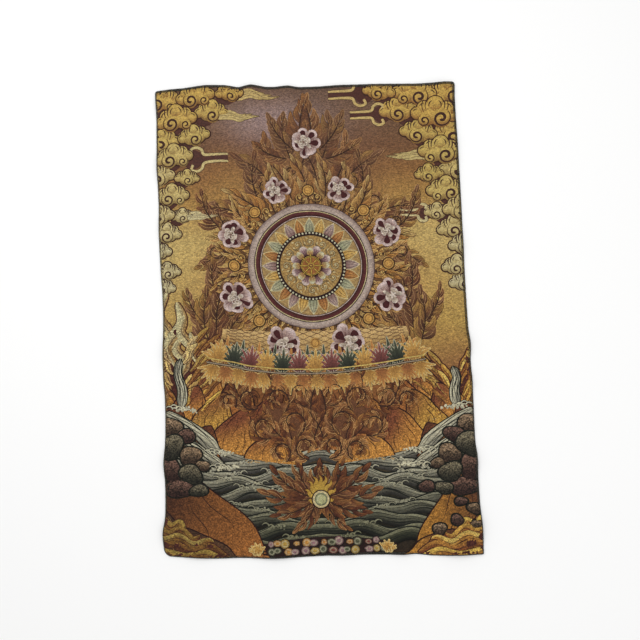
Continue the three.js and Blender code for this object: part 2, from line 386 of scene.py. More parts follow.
def outlined(piece, line, widths, tint, layer, border=2.0, outline=DARK_MAROON):
    """A padded band of thread over a slightly wider one in another colour."""
    ribbon(piece, line, widths + border, outline, layer, crown_width=2)
    ribbon(piece, line, widths, tint, layer + 0.7)


def stroke(piece, line, width, tint, on, closed=False):
    """A thin thread along a line, laid on the layer `on`."""
    lift = on * LAYER + np.array([-0.05, STROKE, -0.05])
    sweep(piece, np.asarray(line, float), width, np.array([-1.0, 0.0, 1.0]), lift, tint, closed)


def brush(piece, line, width, tint, on, **ends):
    """A thin thread that swells and thins along a line. `ends` shapes it, as in `taper`."""
    stroke(piece, line, taper(len(line), width, **ends), tint, on)


def rims(piece, line, widths, width, tint, on):
    """Thin threads along both edges of a band."""
    for edge in SIDES:
        stroke(piece, beside(line, edge * widths / 2), width, tint, on)


def lobes(count, depth, turn=0.0):
    """A rim of round lobes, as a share of the radius by angle."""
    return lambda angle: 1 - depth + depth * np.abs(np.cos((angle - turn) * count / 2))


def disc(piece, at, radius, tint, layer, rim=None, stretch=(1.0, 1.0), step=2.6):
    """A padded round shape of thread.

    `rim` gives the share of the radius by angle. `tint` is a colour, or a function of radius share and angle.
    """
    edge = 1 - min(0.25, 0.8 / radius)
    inner = np.linspace(-edge, edge, max(4, int(2 * radius / step) // 2 * 2 + 1))
    s = np.hstack([-1, inner, 1])
    a, b = np.meshgrid(s, s)
    r = np.maximum(np.abs(a), np.abs(b))
    angle = np.where(
        np.abs(a) >= np.abs(b),
        math.pi / 4 * b / np.where(a == 0, 1, a) + np.where(a < 0, math.pi, 0),
        math.pi / 2 - math.pi / 4 * a / np.where(b == 0, 1, b) + np.where(b < 0, math.pi, 0),
    )
    reach = r * radius * (rim(angle) if rim else 1.0)
    u, v = stretch[0] * reach * np.cos(angle), stretch[1] * reach * np.sin(angle)
    lift = np.where(r > edge + 1e-6, -SINK, layer * LAYER + CROWN * (1 - r**2))
    colours = tint(r, angle) if callable(tint) else tint
    piece.patch(at[0] + u, at[1] + v, lift, colours, np.stack([v, u], -1))


def rounds(piece, at, rings, layer, rim=None, stretch=(1.0, 1.0), step=2.6):
    """Round shapes of thread one on another. Each ring is (radius, tint)."""
    for k, (radius, tint) in enumerate(rings):
        disc(piece, at, radius, tint, layer + 0.8 * k, rim, stretch, step)


def arc(middle, radius, start, end, step=3.0):
    """Places along an arc, between two angles in degrees."""
    n = max(4, int(abs(math.radians(end - start)) * np.max(radius) / step) + 1)
    angle = np.radians(np.linspace(start, end, n))
    return np.stack([middle[0] + radius * np.cos(angle), middle[1] + radius * np.sin(angle)], -1)


def curl(middle, radius, turns, start, step=1.8, core=0.12):
    """Places along a spiral that winds in. Negative turns wind clockwise."""
    n = max(8, int(abs(turns) * math.pi * radius / step))
    t = np.linspace(0, 1, n)
    angle = math.radians(start) + 2 * math.pi * turns * t
    reach = radius * (core + (1 - core) * (1 - t))
    return np.stack([middle[0] + reach * np.cos(angle), middle[1] + reach * np.sin(angle)], -1)


def through(places, step=3.0):
    """A smooth line through a few places."""
    p = np.asarray(places, float)
    p = np.vstack([2 * p[0] - p[1], p, 2 * p[-1] - p[-2]])
    parts = []
    for a, b, c, d in zip(p[:-3], p[1:-2], p[2:-1], p[3:]):
        n = max(2, int(np.linalg.norm(c - b) / step) + 1)
        t = np.linspace(0, 1, n, endpoint=False)[:, None]
        bend = (2 * a - 5 * b + 4 * c - d) * t**2 + (3 * b - a - 3 * c + d) * t**3
        parts.append(0.5 * (2 * b + (c - a) * t + bend))
    return np.vstack([*parts, p[-2:-1]])


def taper(n, width, tip=0.0, root=0.0, belly=0.5):
    """Widths along a stroke that swells to `width` at the share `belly` and thins to both ends."""
    t = np.linspace(0, 1, n)
    up = np.sin(np.clip(t / belly, 0, 1) * math.pi / 2)
    down = np.sin(np.clip((1 - t) / (1 - belly), 0, 1) * math.pi / 2) ** 0.8
    ends = np.where(t < belly, root, tip)
    return width * (ends + (1 - ends) * up * down)


class At:
    """Where a motif is: its place, its size in mm for a length of 1, its turn, and if it is mirrored."""

    def __init__(self, x, y, size=1.0, turn=0.0, hand=1):
        self.x, self.y, self.size, self.hand = x, y, size, hand
        self.c, self.s = math.cos(math.radians(turn)), math.sin(math.radians(turn))

    def __call__(self, places):
        p = np.asarray(places, float) * self.size
        u, v = p[..., 0], p[..., 1]
        across = u * self.c - v * self.s
        return np.stack([self.x + self.hand * across, self.y + u * self.s + v * self.c], -1)

    def line(self, places, step=3.0):
        """A smooth line through a few places of the motif."""
        return through(self(places), step)


def toward(middle, angle, reach):
    """A place at an angle in degrees and a distance from a middle."""
    a = math.radians(angle)
    return middle[0] + reach * math.cos(a), middle[1] + reach * math.sin(a)


def mirrored(hand, across, y, size=1.0, turn=0.0):
    """Where a motif on one side of the middle line is, with its mirror image on the other side."""
    return At(MID_X + hand * across, y, size, turn, hand)


# ---------------------------------------------------------------- materials


class Shader:
    """A short way to add nodes to a new material and to join them."""

    def __init__(self, name):
        self.material = bpy.data.materials.new(name)
        self.material.use_nodes = True
        self.tree = self.material.node_tree
        self.tree.nodes.clear()

    def add(self, kind, inputs=(), **settings):
        """Adds a node. `inputs` maps its inputs to values or to other nodes' outputs."""
        node = self.tree.nodes.new("ShaderNode" + kind)
        for name, value in settings.items():
            setattr(node, name, value)
        for key, value in dict(inputs).items():
            if isinstance(value, bpy.types.NodeSocket):
                self.tree.links.new(value, node.inputs[key])
            else:
                node.inputs[key].default_value = value
        return node

    def math(self, operation, a, b=0.0, c=0.0):
        """The result of some arithmetic on values."""
        return self.add("Math", {0: a, 1: b, 2: c}, operation=operation).outputs[0]

    def product(self, a, b):
        """Two colours or vectors, multiplied part by part."""
        return self.add("VectorMath", {0: a, 1: b}, operation="MULTIPLY").outputs[0]

    def own_tint(self):
        """The tint of each place of the piece."""
        return self.add("Attribute", attribute_name="tint").outputs["Color"]

    def lay(self):
        """How far along and across the thread each place is."""
        return self.add("UVMap", uv_map="lay").outputs["UV"]

    def in_mm(self):
        """Places on the cloth in millimetres."""
        coordinates = self.add("TexCoord").outputs["Object"]
        return self.product(coordinates, (1000, 1000, 1000))

    def bricks(self, where, length, width, joint, low, high, offset):
        """Short rods of random shades between two colours, in rows with a fine joint between them."""
        settings = {
            "Vector": where,
            "Color1": (*low, 1),
            "Color2": (*high, 1),
            "Mortar": (0.25, 0.25, 0.25, 1) if joint else (1, 1, 1, 1),
            "Scale": 1.0,
            "Mortar Size": joint,
            "Mortar Smooth": 1.0,
            "Brick Width": length,
            "Row Height": width,
        }
        return self.add("TexBrick", settings, offset=offset)

    def ramp(self, value, stops):
        """One of several colours, by steps. Each stop is (the value that it starts at, its colour)."""
        node = self.add("ValToRGB", {0: value})
        node.color_ramp.interpolation = "CONSTANT"
        elements = node.color_ramp.elements
        for at, _ in stops[2:]:
            elements.new(at)
        for element, (at, colour) in zip(elements, stops):
            element.position = at
            element.color = (*colour, 1)
        return node.outputs["Color"]

    def finish(self, colour, roughness, height=None, bump=0.2, **surface):
        """Joins the colour, roughness and bump to the surface. Other values are set on its own sockets."""
        inputs = {"Base Color": colour, "Roughness": roughness}
        if height is not None:
            relief = self.add("Bump", {"Height": height, "Distance": bump * MM, "Strength": 1.0})
            inputs["Normal"] = relief.outputs[0]
        inputs.update({name.replace("_", " "): value for name, value in surface.items()})
        surface_node = self.add("BsdfPrincipled", inputs)
        output = self.add("OutputMaterial", {"Surface": surface_node.outputs[0]})
        output.is_active_output = True
        return self.material


FLOAT_LENGTH, FLOAT_WIDTH = 1.7, 0.46  # one visible float of the weft
YARNS = [  # the yarns that show among the main one: how often each starts, and its tint
    (0.0, (1.0, 1.0, 1.0)),
    (0.5, (0.54, 0.46, 0.44)),
    (0.7, (1.34, 1.26, 1.03)),
    (0.84, (0.86, 0.84, 0.86)),
    (0.93, (1.6, 1.54, 1.42)),
]


def silk(name, clumps=0.24, grains=0.0, veins=0.0, vein_pitch=2.1, metal=0.0, gloss=0.14):
    """Figured silk: the tint of each place, broken up by the yarns of the weave.

    `clumps` is how much the weave's groups of floats differ, `grains` how strongly two yarns are mixed in
    grains, and `veins` how dark the slanted hatching is.
    """
    shader = Shader(name)
    where = shader.in_mm()
    floats = shader.bricks(where, FLOAT_LENGTH, FLOAT_WIDTH, 0.05, (0, 0, 0), (1, 1, 1), 0.37)
    dim, bright = (1 - clumps,) * 3, (1 + clumps, 1 + clumps, 1 + 0.85 * clumps)
    groups = shader.bricks(where, 2 * FLOAT_LENGTH, 4 * FLOAT_WIDTH, 0.0, dim, bright, 0.41)
    yarn = shader.ramp(floats.outputs["Color"], YARNS)
    height = shader.math("SUBTRACT", 1.0, floats.outputs["Fac"])
    mottle = shader.add("TexNoise", {"Vector": where, "Scale": 0.22, "Detail": 4.0, "Roughness": 0.7})
    shade = shader.math("MULTIPLY_ADD", mottle.outputs["Fac"], 0.7, 0.65)
    own = shader.product(shader.own_tint(), yarn)
    colour = shader.product(own, shader.product(groups.outputs["Color"], shade))
    if grains:
        grain = shader.add("TexNoise", {"Vector": where, "Scale": 0.42, "Detail": 2.0}).outputs["Fac"]
        sharp = shader.math("MULTIPLY_ADD", grain, 7.0, -3.5)
        sharp = shader.math("MAXIMUM", shader.math("MINIMUM", sharp, 1.0), -1.0)
        colour = shader.product(colour, shader.math("MULTIPLY_ADD", sharp, grains, 1.0))
    if veins:
        lay = shader.add("SeparateXYZ", {0: shader.lay()})
        off = shader.math("ABSOLUTE", lay.outputs["Y"])
        slant = shader.math("MULTIPLY_ADD", off, -1.5, lay.outputs["X"])
        line = shader.math("MINIMUM", shader.math("PINGPONG", slant, vein_pitch), 1.0)
        colour = shader.product(colour, shader.math("MULTIPLY_ADD", line, veins, 1.0 - 0.7 * veins))
        height = shader.math("MULTIPLY_ADD", line, 1.2, height)
    roughness = shader.math("MULTIPLY_ADD", floats.outputs["Color"], 0.16, 0.44)
    return shader.finish(
        colour,
        roughness,
        height,
        bump=0.1,
        Metallic=metal,
        Specular_IOR_Level=gloss,
        Sheen_Weight=0.03,
        Sheen_Roughness=0.45,
        Sheen_Tint=(1.0, 0.9, 0.85, 1),
    )


def brocade_back():
    """The reverse of the brocade: long loose floats of every yarn, duller than the face."""
    shader = Shader("brocade_back")
    floats = shader.bricks(shader.in_mm(), 9.0, 0.6, 0.06, (0, 0, 0), (1, 1, 1), 0.29)
    yarns = [(0.0, MAROON), (0.3, BROWN), (0.5, GOLD), (0.66, DARK_BROWN), (0.8, MAUVE), (0.9, YELLOW)]
    colour = shader.ramp(floats.outputs["Color"], yarns)
    height = shader.math("SUBTRACT", 1.0, floats.outputs["Fac"])
    return shader.finish(colour, 0.62, height, bump=0.25, Sheen_Weight=0.2, Sheen_Roughness=0.5)


def overlock_thread():
    """Dark fluffy thread, with its plies along each stitch."""
    shader = Shader("overlock_thread")
    twist = {"Vector": shader.lay(), "Scale": 1.6, "Distortion": 0.5}
    plies = shader.add("TexWave", twist, bands_direction="DIAGONAL")
    fluff = shader.add("TexNoise", {"Vector": shader.in_mm(), "Scale": 1.3, "Detail": 3.0})
    shade = shader.math("MULTIPLY_ADD", fluff.outputs["Fac"], 1.1, 0.45)
    return shader.finish(
        shader.product(shader.own_tint(), shade),
        0.78,
        plies.outputs["Fac"],
        bump=0.12,
        Sheen_Weight=0.3,
        Sheen_Roughness=0.4,
        Specular_IOR_Level=0.2,
    )


# ---------------------------------------------------------------- the woven ground

# The ground's colours from top to bottom. Each row is (y, at the sides, in the middle).
GROUND = [
    (458, "#5e4832", "#614a3c"), (400, "#634932", "#6a503f"),
    (335, "#6b4c33", "#6a4a35"), (285, "#845f36", "#785536"),
    (230, "#9b7a43", "#8d693d"), (150, "#b29b62", "#a38650"),
    (60, "#aa8f56", "#967040"), (-40, "#a28549", "#8c6638"),
    (-120, "#87603a", "#80532f"), (-190, "#6f4a2b", "#714627"),
    (-240, "#4f3f2b", "#4c3d2a"), (-310, "#2b281d", "#2a281d"),
    (-390, "#231e15", "#222118"), (-456, "#2c2014", "#281d13"),
]


def ground_tint(x, y):
    """The ground's tint, with borders that wander and a painted pale mauve sheen near the top, a painted
    highlight of light on the silk.
    """
    wander = y + 14 * np.sin(x / 55) + 8 * np.sin(x / 23 + y / 60)
    at_sides, at_middle = [by_height(GROUND, column, wander) for column in (1, 2)]
    tint = mix(at_middle, at_sides, smooth(np.abs(x - MID_X), 60, 290))
    # painted highlight: a pale mauve sheen patch high left of the middle stands in for light reflected from
    # the silk
    glow = np.exp(-(((x + 60) / 95) ** 2 + ((y - 385) / 42) ** 2))
    return mix(tint, PALE_MAUVE, 0.45 * glow)


COLUMNS, ROWS = 132, 200  # the cells of the sheet's mesh


def cloth_sheet(face_material, back_material):
    """The brocade itself: its face, its reverse, and the cut edge between them."""
    x, y = np.meshgrid(np.linspace(LEFT, RIGHT, COLUMNS + 1), np.linspace(BOTTOM, TOP, ROWS + 1))
    top = place(x, y, 0.0).reshape(-1, 3)
    under = place(x, y, -THICK).reshape(-1, 3)
    index = np.arange(x.size).reshape(x.shape)
    face = grid_quads(index)
    back = face[:, ::-1] + x.size
    rim = np.hstack([index[0, :-1], index[:-1, -1], index[-1, :0:-1], index[:0:-1, 0]])
    ahead = np.roll(rim, -1)
    edge = np.stack([rim + x.size, ahead + x.size, ahead, rim], -1)
    tint = ground_tint(x, y).reshape(-1, 3)
    lay = np.stack([x, y], -1).reshape(-1, 2)
    mesh = joined_mesh(
        "cloth_sheet",
        np.vstack([top, under]),
        np.vstack([face, edge, back]),
        np.tile(tint, (2, 1)),
        np.tile(lay, (2, 1)),
    )
    mesh.materials.append(face_material)
    mesh.materials.append(back_material)
    is_back = np.zeros(len(mesh.polygons), np.int32)
    is_back[-len(back) :] = 1
    mesh.polygons.foreach_set("material_index", is_back)
    return link("cloth_sheet", mesh)


# ---------------------------------------------------------------- clouds

# The clouds' colours by height. Each row is (y, a cloud's rim, its middle).
CLOUD_HUES = [
    (440, "#80592a", "#b4944a"),
    (330, "#806434", "#b29b56"),
    (200, "#8a7748", "#b8a876"),
    (40, "#8d7e56", "#b4aa84"),
]
# The clouds on the right, mirrored on the left. Each row is (across, y, half width, curls, tail's length).
CLOUDS = [
    (286, 436, 44, 2, 0), (214, 438, 42, 2, 0), (146, 444, 31, 1, 78),
    (258, 396, 45, 2, 0), (184, 402, 37, 1, 70), (292, 356, 44, 1, 0),
    (220, 360, 35, 1, 0), (264, 318, 41, 2, 78), (296, 280, 40, 1, 0),
    (238, 277, 27, 1, 0), (272, 242, 37, 2, 0), (299, 204, 38, 1, 0),
    (252, 201, 25, 1, 54), (280, 166, 34, 1, 0), (300, 128, 33, 1, 0),
    (284, 92, 29, 1, 0), (301, 56, 31, 1, 0),
]
CLOUD_LAYERS = 4  # overlapping clouds take turns on this many levels
CLOUD_BUMPS = [  # across, up, radius
    (0.0, 0.46, 0.38),
    (-0.47, 0.27, 0.33),
    (0.5, 0.25, 0.35),
    (-0.76, 0.0, 0.3),
    (0.78, -0.02, 0.32),
    (0.24, -0.06, 0.48),
    (-0.28, -0.04, 0.46),
]
CLOUD_CURLS = {  # across, up, radius, and the way it winds, for each count of curls
    1: [(-0.06, -0.2, 0.45, 1)],
    2: [(-0.44, -0.3, 0.3, 1), (0.3, -0.16, 0.44, -1)],
}
CLOUD_FOLDS = [  # dark folds that follow the cloud's head: their reach, and from where to where they run
    (0.27, 28, 104),
    (0.43, 50, 118),
    (0.57, 64, 124),
]
LEFT_CLOUDS = 0.88  # how large the clouds on the left are, beside those on the right
CLOUD_LINE, CLOUD_GAP = threads("#35190f #452319")
FINE_ENDS = {"root": 0.2, "tip": 0.2}  # how the folds of a cloud thin to their ends
FLAME_TONGUES = [(9, 0.62), (4, 0.8), (-8, 0.66), (-3, 1.0)]  # how each leans, and its share of the length


def cloud(piece, at, curls, rim, light, layer):
    """A cloud of merged bumps, with dark folds on its shoulders and one or two open curls below them."""

    def tint(s, angle):
        return mix(rim, light, smooth(s * np.sin(angle) - 0.5 * s**4, -0.95, 0.25))

    disc(piece, at((0.4, -0.36)), 0.66 * at.size, CLOUD_GAP, 1.0, lobes(4, 0.1), (1.1, 0.8), step=8)
    for u, v, r in CLOUD_BUMPS:
        rounds(piece, at((u, v)), [(r * at.size + 1.7, CLOUD_LINE), (r * at.size, tint)], layer, step=5)
    for side in SIDES:
        for reach, start, end in CLOUD_FOLDS:
            fold = arc((0, 0.4), reach, 90 + side * start, 90 + side * end, 2.6 / at.size)
            brush(piece, at(fold), 2.7, CLOUD_LINE, layer + 1.4, **FINE_ENDS)
    for u, v, r in CLOUD_BUMPS[1:5]:
        side = math.copysign(1, u)
        fold = arc((u, v), 0.66 * r, 90 - 74 * side, 90 + 4 * side, 2.2 / at.size)
        brush(piece, at(fold), 2.2, CLOUD_LINE, layer + 1.4, **FINE_ENDS)
    for u, v, r, hand in CLOUD_CURLS[curls]:
        disc(piece, at((u, v)), r * at.size, tint, layer + 2.1, step=5)
        line = at(curl((u, v), 0.96 * r, 1.5 * hand, 90 + 40 * hand, 1.8 / at.size))
        widths = taper(len(line), 0.36 * r * at.size, tip=0.7, root=0.2, belly=0.88)
        ribbon(piece, line, widths, CLOUD_LINE, layer + 2.9)


def stem(piece, at, light, layer):
    """A dark stem that runs towards the middle of the cloth, between pale borders that curl at its root."""
    ribbon(piece, at(np.linspace((-0.4, 0), (1.0, 0), 14)), 0.19 * at.size, CLOUD_GAP, layer)
    disc(piece, at((0.1, 0)), 0.26 * at.size, CLOUD_GAP, layer + 0.3)
    places = [(1.0, 0.09), (0.55, 0.09), (0.38, 0.12), (0.33, 0.24), (0.2, 0.31), (0.06, 0.26), (0.1, 0.14)]
    for side in SIDES:
        border = at.line([(u, side * v) for u, v in places], 2.6)
        widths = taper(len(border), 6.4, root=0.7, tip=0.9)
        outlined(piece, border, widths, light, layer + 0.6, 2.2, CLOUD_LINE)


def flames(piece, at, light, layer):
    """The tail of a cloud: pale pointed tongues that stream towards the middle of the cloth."""
    places = np.array([(-0.3, 0), (0.3, 0.05), (0.65, -0.02), (1.0, 0.01)])
    for k, (lean, share) in enumerate(FLAME_TONGUES):
        line = at.line(places * share + (0, lean / 130), 3.6)
        widths = taper(len(line), 11.0, root=0.8, belly=0.3)
        outlined(piece, line, widths, light, layer + 0.3 * k, 2.2, CLOUD_LINE)
        stroke(piece, line[2:-1], 1.2, CLOUD_LINE, layer + 1.0 + 0.3 * k)


def cloud_banks():
    """Banks of clouds in the upper corners and down the sides."""
    piece = Piece("clouds")
    for k, (across, y, size, curls, tail) in enumerate(CLOUDS):
        dx, dy, turn, warm = random.uniform(-1, 1, 4)
        for hand in SIDES:
            x = MID_X + hand * (across + 3 * dx)
            rim, light = [by_height(CLOUD_HUES, column, y + 45 * warm + 25 * hand) for column in (1, 2)]
            scale = LEFT_CLOUDS if hand < 0 else 1.0
            if tail:
                kind = stem if (k + (hand > 0)) % 2 else flames
                at = At(x - hand * 0.7 * size, y - 0.15 * size, tail, 0, -hand)
                kind(piece, at, mix(light, PALE, 0.25), 2.0)
            layer = 2.6 + 3.0 * (k % CLOUD_LAYERS)
            cloud(piece, At(x, y + 4 * dy, scale * size, 7 * turn, hand), curls, rim, light, layer)
    return piece


# ---------------------------------------------------------------- leaves and peonies

MANDALA = (MID_X, 96.0)
MANDALA_RADIUS = 122.0

# Ways to shade a leaf. Each row is (its root, its tip, its outline and midrib).
GOLD_LEAVES = [
    threads("#84602f #bd9658 #311f16"),
    threads("#8e5f2e #b08246 #311f16"),
    threads("#8c7040 #c0a36a #4a3020"),
    threads("#6b4526 #a67c48 #c0a168"),
]
DARK_LEAVES = [
    threads("#3e261a #6b4930 #a58252"),
    threads("#4c2f1e #74523a #a8845a"),
    threads("#45281e #654029 #9c744a"),
    threads("#6b4a2c #98753f #311f16"),
]
RUST_LEAVES = [
    threads("#4c2c1c #8e6039 #c49c64"),
    threads("#5c3622 #966838 #2a1812"),
    threads("#4e3220 #84593a #a9824f"),
    threads("#4a281a #7a4c2a #2a1812"),
]
DUSK = thread("#664a38")  # the brown of the cloth near its top


def about_middle(angle, reach):
    """A place at an angle and a distance from the middle of the mandala."""
    return toward(MANDALA, angle, reach)


def around(angle, reach, size, turn=0.0, hand=1):
    """Where a motif about the mandala is. It points outward, turned by `turn` more."""
    return At(*about_middle(angle, reach), size, angle + turn, hand)


def blended(tints, other, share):
    """Ways to shade a leaf, each tint blended with another."""
    return [[mix(tint, other, share) for tint in row] for row in tints]


def heading(line, i):
    """The way in degrees that a line runs at one of its places."""
    ahead = line[i + 1] - line[i]
    return math.degrees(math.atan2(ahead[1], ahead[0]))


def leaf(piece, at, bend, width, tints, layer):
    """One pointed leaf of length 1 along u, with an outline and a midrib."""
    root_tint, tip_tint, line_tint = tints
    line = at.line([(0, 0), (0.35, 0.1 * bend), (0.7, 0.32 * bend), (1.0, 0.9 * bend)], 8)
    widths = taper(len(line), width, belly=0.45, root=0.35)

    def tint(t, s):
        return mix(root_tint, tip_tint, smooth(t + 0.25 * s, 0.1, 0.9))

    outlined(piece, line, widths, tint, layer, 2.2, line_tint)
    stroke(piece, line[:-1], 1.2, line_tint, layer + 0.9)


def spray(piece, at, bend, pairs, layer, tints, fullness=0.42):
    """An acanthus spray: broad leaves in pairs up a bent stem, that overlap, and one at its tip."""
    stalk = at.line([(0, 0), (0.35, 0.08 * bend), (0.7, 0.3 * bend), (1, 0.66 * bend)], 4)
    for k in range(2 * pairs + 1):
        share = 0.05 + 0.88 * (k // 2) / pairs
        i = min(int(share * len(stalk)), len(stalk) - 2)
        side = 0 if k == 2 * pairs else (1 if k % 2 else -1)
        reach = at.size * (0.3 if side == 0 else fullness * (1 - 0.45 * share))
        own = tints[random.integers(len(tints))]
        uneven = random.uniform(-1, 1)
        way = heading(stalk, i) + side * (62 - 22 * share) + 9 * uneven
        leaf_at = At(*stalk[i], reach * (1 + 0.18 * uneven), way)
        leaf(piece, leaf_at, -0.8 * side, 0.42 * reach, own, layer + 0.4 * (k // 2))
    brush(piece, stalk, 2.6, DARK_BROWN, layer + 1.2 + 0.4 * pairs, root=0.8)


SCROLL_LEAVES = 20


def leafy_scroll(piece, at, side, tints, layer):
    """An acanthus scroll: a stem of radius 1 that winds in, with leaves by turns outside it and inside it."""
    stalk = at(curl((0, 0), 1.0, side * 0.86, 0, step=0.09, core=0.22))
    outer = -side * at.hand
    for k in range(SCROLL_LEAVES):
        share = k / SCROLL_LEAVES
        i = int(share * (len(stalk) - 2))
        uneven = random.uniform(-1, 1)
        out = 1 if k % 2 else -0.9
        reach = at.size * (0.8 - 0.3 * share if k % 2 else 0.74 - 0.3 * share) * (1 + 0.14 * uneven)
        leaf_at = At(*stalk[i], reach, heading(stalk, i) + outer * out * (44 + 10 * uneven))
        own = tints[random.integers(len(tints))]
        leaf(piece, leaf_at, -0.7 * outer * out, 0.44 * reach, own, layer + 0.3 * (k % 4))
    brush(piece, stalk, 2.6, DARK_BROWN, layer + 2.4, root=0.8, tip=0.4)


def petal(piece, at, width, tints, layer, window=None):
    """One broad petal of length 1 along u, darker at its root and paler at its rim.

    A petal with a window is hollow: a dark cup fills it up to its pale rim.
    """
    root_tint, mid_tint, rim_tint = tints
    line = at.line([(0, 0), (0.5, 0.03), (1.0, 0)], 2.8)
    t = np.linspace(0, 1, len(line))
    widths = width * (0.3 + 0.7 * smooth(t, 0, 0.6)) * np.sqrt(1 - np.clip((t - 0.68) / 0.33, 0, 1) ** 2)

    def tint(t, s):
        inner = mix(root_tint, mid_tint, smooth(t, 0.15, 0.62))
        return mix(inner, rim_tint, smooth(np.maximum(t, np.abs(s) * (0.35 + 0.65 * t)), 0.6, 0.92))

    outlined(piece, line, widths, tint, layer, 2.0, DARK_MAROON)
    if window is not None:
        cup = slice(1, len(line) - len(line) // 5)
        depth = np.linspace(0, 1, len(line[cup]))
        cup_widths = widths[cup] * (0.25 + 0.5 * depth) * np.sqrt(1 - 0.9 * depth**6)
        ribbon(piece, line[cup], cup_widths, window, layer + 1.4)
        return
    for off in (-0.25, 0.0, 0.25):
        u = np.array([0.06, 0.35, 0.72])
        v = off * width / at.size * np.array([0, 0.5, 1])
        stroke(piece, at.line(np.stack([u, v], -1), 3.4), 1.2, root_tint, layer + 1.0)


PEONY_PETALS = [threads("#6d4f4b #9c857f #bfadab"), threads("#5b3a38 #8d746f #b7a4a0")]
PEONY_WINDOW = thread("#3d1718")
PEONY_HEART = threads("#8a7c6e #a89a8c #c3b7ad")
OUTER_PETALS, INNER_PETALS = 7, 5


def peony(piece, x, y, radius, turn, layer):
    """A full peony: broad hollow petals of uneven size, round a heart of small petals to one side."""
    middle = (x, y)
    heart = toward(middle, turn + 70, 0.16 * radius)
    for k in range(OUTER_PETALS + INNER_PETALS):
        outer = k < OUTER_PETALS
        uneven = math.sin(2.4 * k + turn)
        way = turn + 360 / (OUTER_PETALS if outer else INNER_PETALS) * k + 11 * uneven
        reach = radius * ((0.98 if outer else 0.5) + 0.1 * uneven)
        at = At(*toward(middle if outer else heart, way, 0.06 * radius), reach, way)
        width = radius * ((0.84 if outer else 0.42) - 0.16 * uneven)
        on = layer + 0.9 * (k % 3 if outer else 3 + k % 2)
        hollow = PEONY_WINDOW if outer and k % 3 != 1 else None
        petal(piece, at, width, PEONY_PETALS[k % 2] if outer else PEONY_HEART, on, hollow)
    for k in range(INNER_PETALS):
        way = 360 / INNER_PETALS * k
        curve = arc(toward(heart, turn + way, 0.16 * radius), 0.13 * radius, way, way + 230, 2.0)
        stroke(piece, curve, 1.5, PEONY_HEART[2], layer + 5.4 + 0.2 * k)


PEONIES = 8
PEONY_REACH, PEONY_SIZE = 163.0, 29.0
VINE_SCROLLS = 24  # the small scrolls among the sprays
WREATH_SCROLLS = 20  # the leafy scrolls that wind outside them
# The rings of sprays round the mandala. Each row is
# (count, reach, length, more length at the top, bend, pairs of leaves, leaves, layer).
SPRAY_RINGS = [
    (24, 148, 58, 40, 0.85, 4, DARK_LEAVES, 1.4),
    (26, 134, 50, 26, 0.5, 4, GOLD_LEAVES, 4.4),
    (28, 114, 42, 6, 0.35, 3, GOLD_LEAVES, 7.2),
]
FRUIT = [(13.0, DARK_BROWN), (11.2, thread("#a98448")), (8.6, thread("#6b4424")), (7.4, thread("#ad8446"))]
# Dark sprays at both sides of the mandala, mirrored. Each row is (across, y, length, turn).
SIDE_SPRAYS = [
    (178, -70, 74, 96), (206, -52, 84, 66), (192, -30, 92, 84),
    (216, -14, 62, 40), (184, 24, 74, 62), (178, 172, 70, 42),
]
# The crest above the mandala, mirrored. Each row is (across, y, length, turn, leaves).
CREST = [
    (54, 262, 84, 58, RUST_LEAVES), (32, 312, 78, 66, DARK_LEAVES),
    (8, 332, 92, 80, RUST_LEAVES), (26, 328, 74, 40, DARK_LEAVES),
    (40, 310, 62, 10, RUST_LEAVES),
]


def foliage():
    """Sprays all round the mandala with peonies, scrolls and fruits between them, and a crest above."""
    leaves, flowers = Piece("leaves"), Piece("peonies")
    disc(leaves, MANDALA, 160, thread("#5f4228"), 0.8, lobes(16, 0.1, 0.2), step=7)
    for count, reach, length, more, bend, pairs, tints, layer in SPRAY_RINGS:
        for k in range(count):
            way = 360 / count * (k + 0.5)
            hand = 1 if math.cos(math.radians(way)) > 0 else -1
            upward = max(0.0, math.sin(math.radians(way)))
            paired = int(abs(way - 90 if way < 270 else way - 450) * count / 360) % 2
            own_length = length + more * upward**1.6 + 9 * paired
            own_bend = bend * hand * (1 - 1.7 * paired)
            own_tints = blended(tints, DUSK, 0.4 * upward**3)
            spray(leaves, around(way, reach, own_length), own_bend, pairs, layer, own_tints)
    for k in range(VINE_SCROLLS):
        at = around(360 / VINE_SCROLLS * (k + 0.5), 138, 12.5, -90, 1 if k % 2 else -1)
        scroll(leaves, at, *threads("#7f5f35 #bb9a5c"), 9.8)
    for k in range(PEONIES):
        way = 22.5 + 360 / PEONIES * k
        rounds(leaves, about_middle(way + 22.5, 151), FRUIT, 11.6)
        size = PEONY_SIZE - 4 * math.sin(math.radians(way))
        peony(flowers, *about_middle(way, PEONY_REACH), size, 40 * k + 10, 12.0)
    for k in range(WREATH_SCROLLS):
        way = 360 / WREATH_SCROLLS * (k + 0.5)
        hand = 1 if math.cos(math.radians(way)) > 0 else -1
        leafy_scroll(leaves, around(way, 180 + 8 * (k % 2), 17, 200 * hand), hand, DARK_LEAVES, 2.6)
    for hand in SIDES:
        for rank, at in enumerate(SIDE_SPRAYS):
            spray(leaves, mirrored(hand, *at), 0.6, 5, 5.8 - 0.8 * rank, DARK_LEAVES)
        for rank, (*at, tints) in enumerate(CREST):
            spray(leaves, mirrored(hand, *at), 0.4, 5, 3.2 + 1.2 * rank, blended(tints, DUSK, 0.38))
    peony(flowers, MID_X, 344, 28, 95, 11.0)
    return leaves, flowers


# ---------------------------------------------------------------- the mandala


def circle(radius, step):
    """Places once round the middle of the mandala."""
    return arc(MANDALA, radius, 0, 360, step)[:-1]


def ring(piece, radius, width, tint, layer, step=3.6):
    """A band round the middle of the mandala."""
    ribbon(piece, circle(radius, step), width, tint, layer, closed=True)


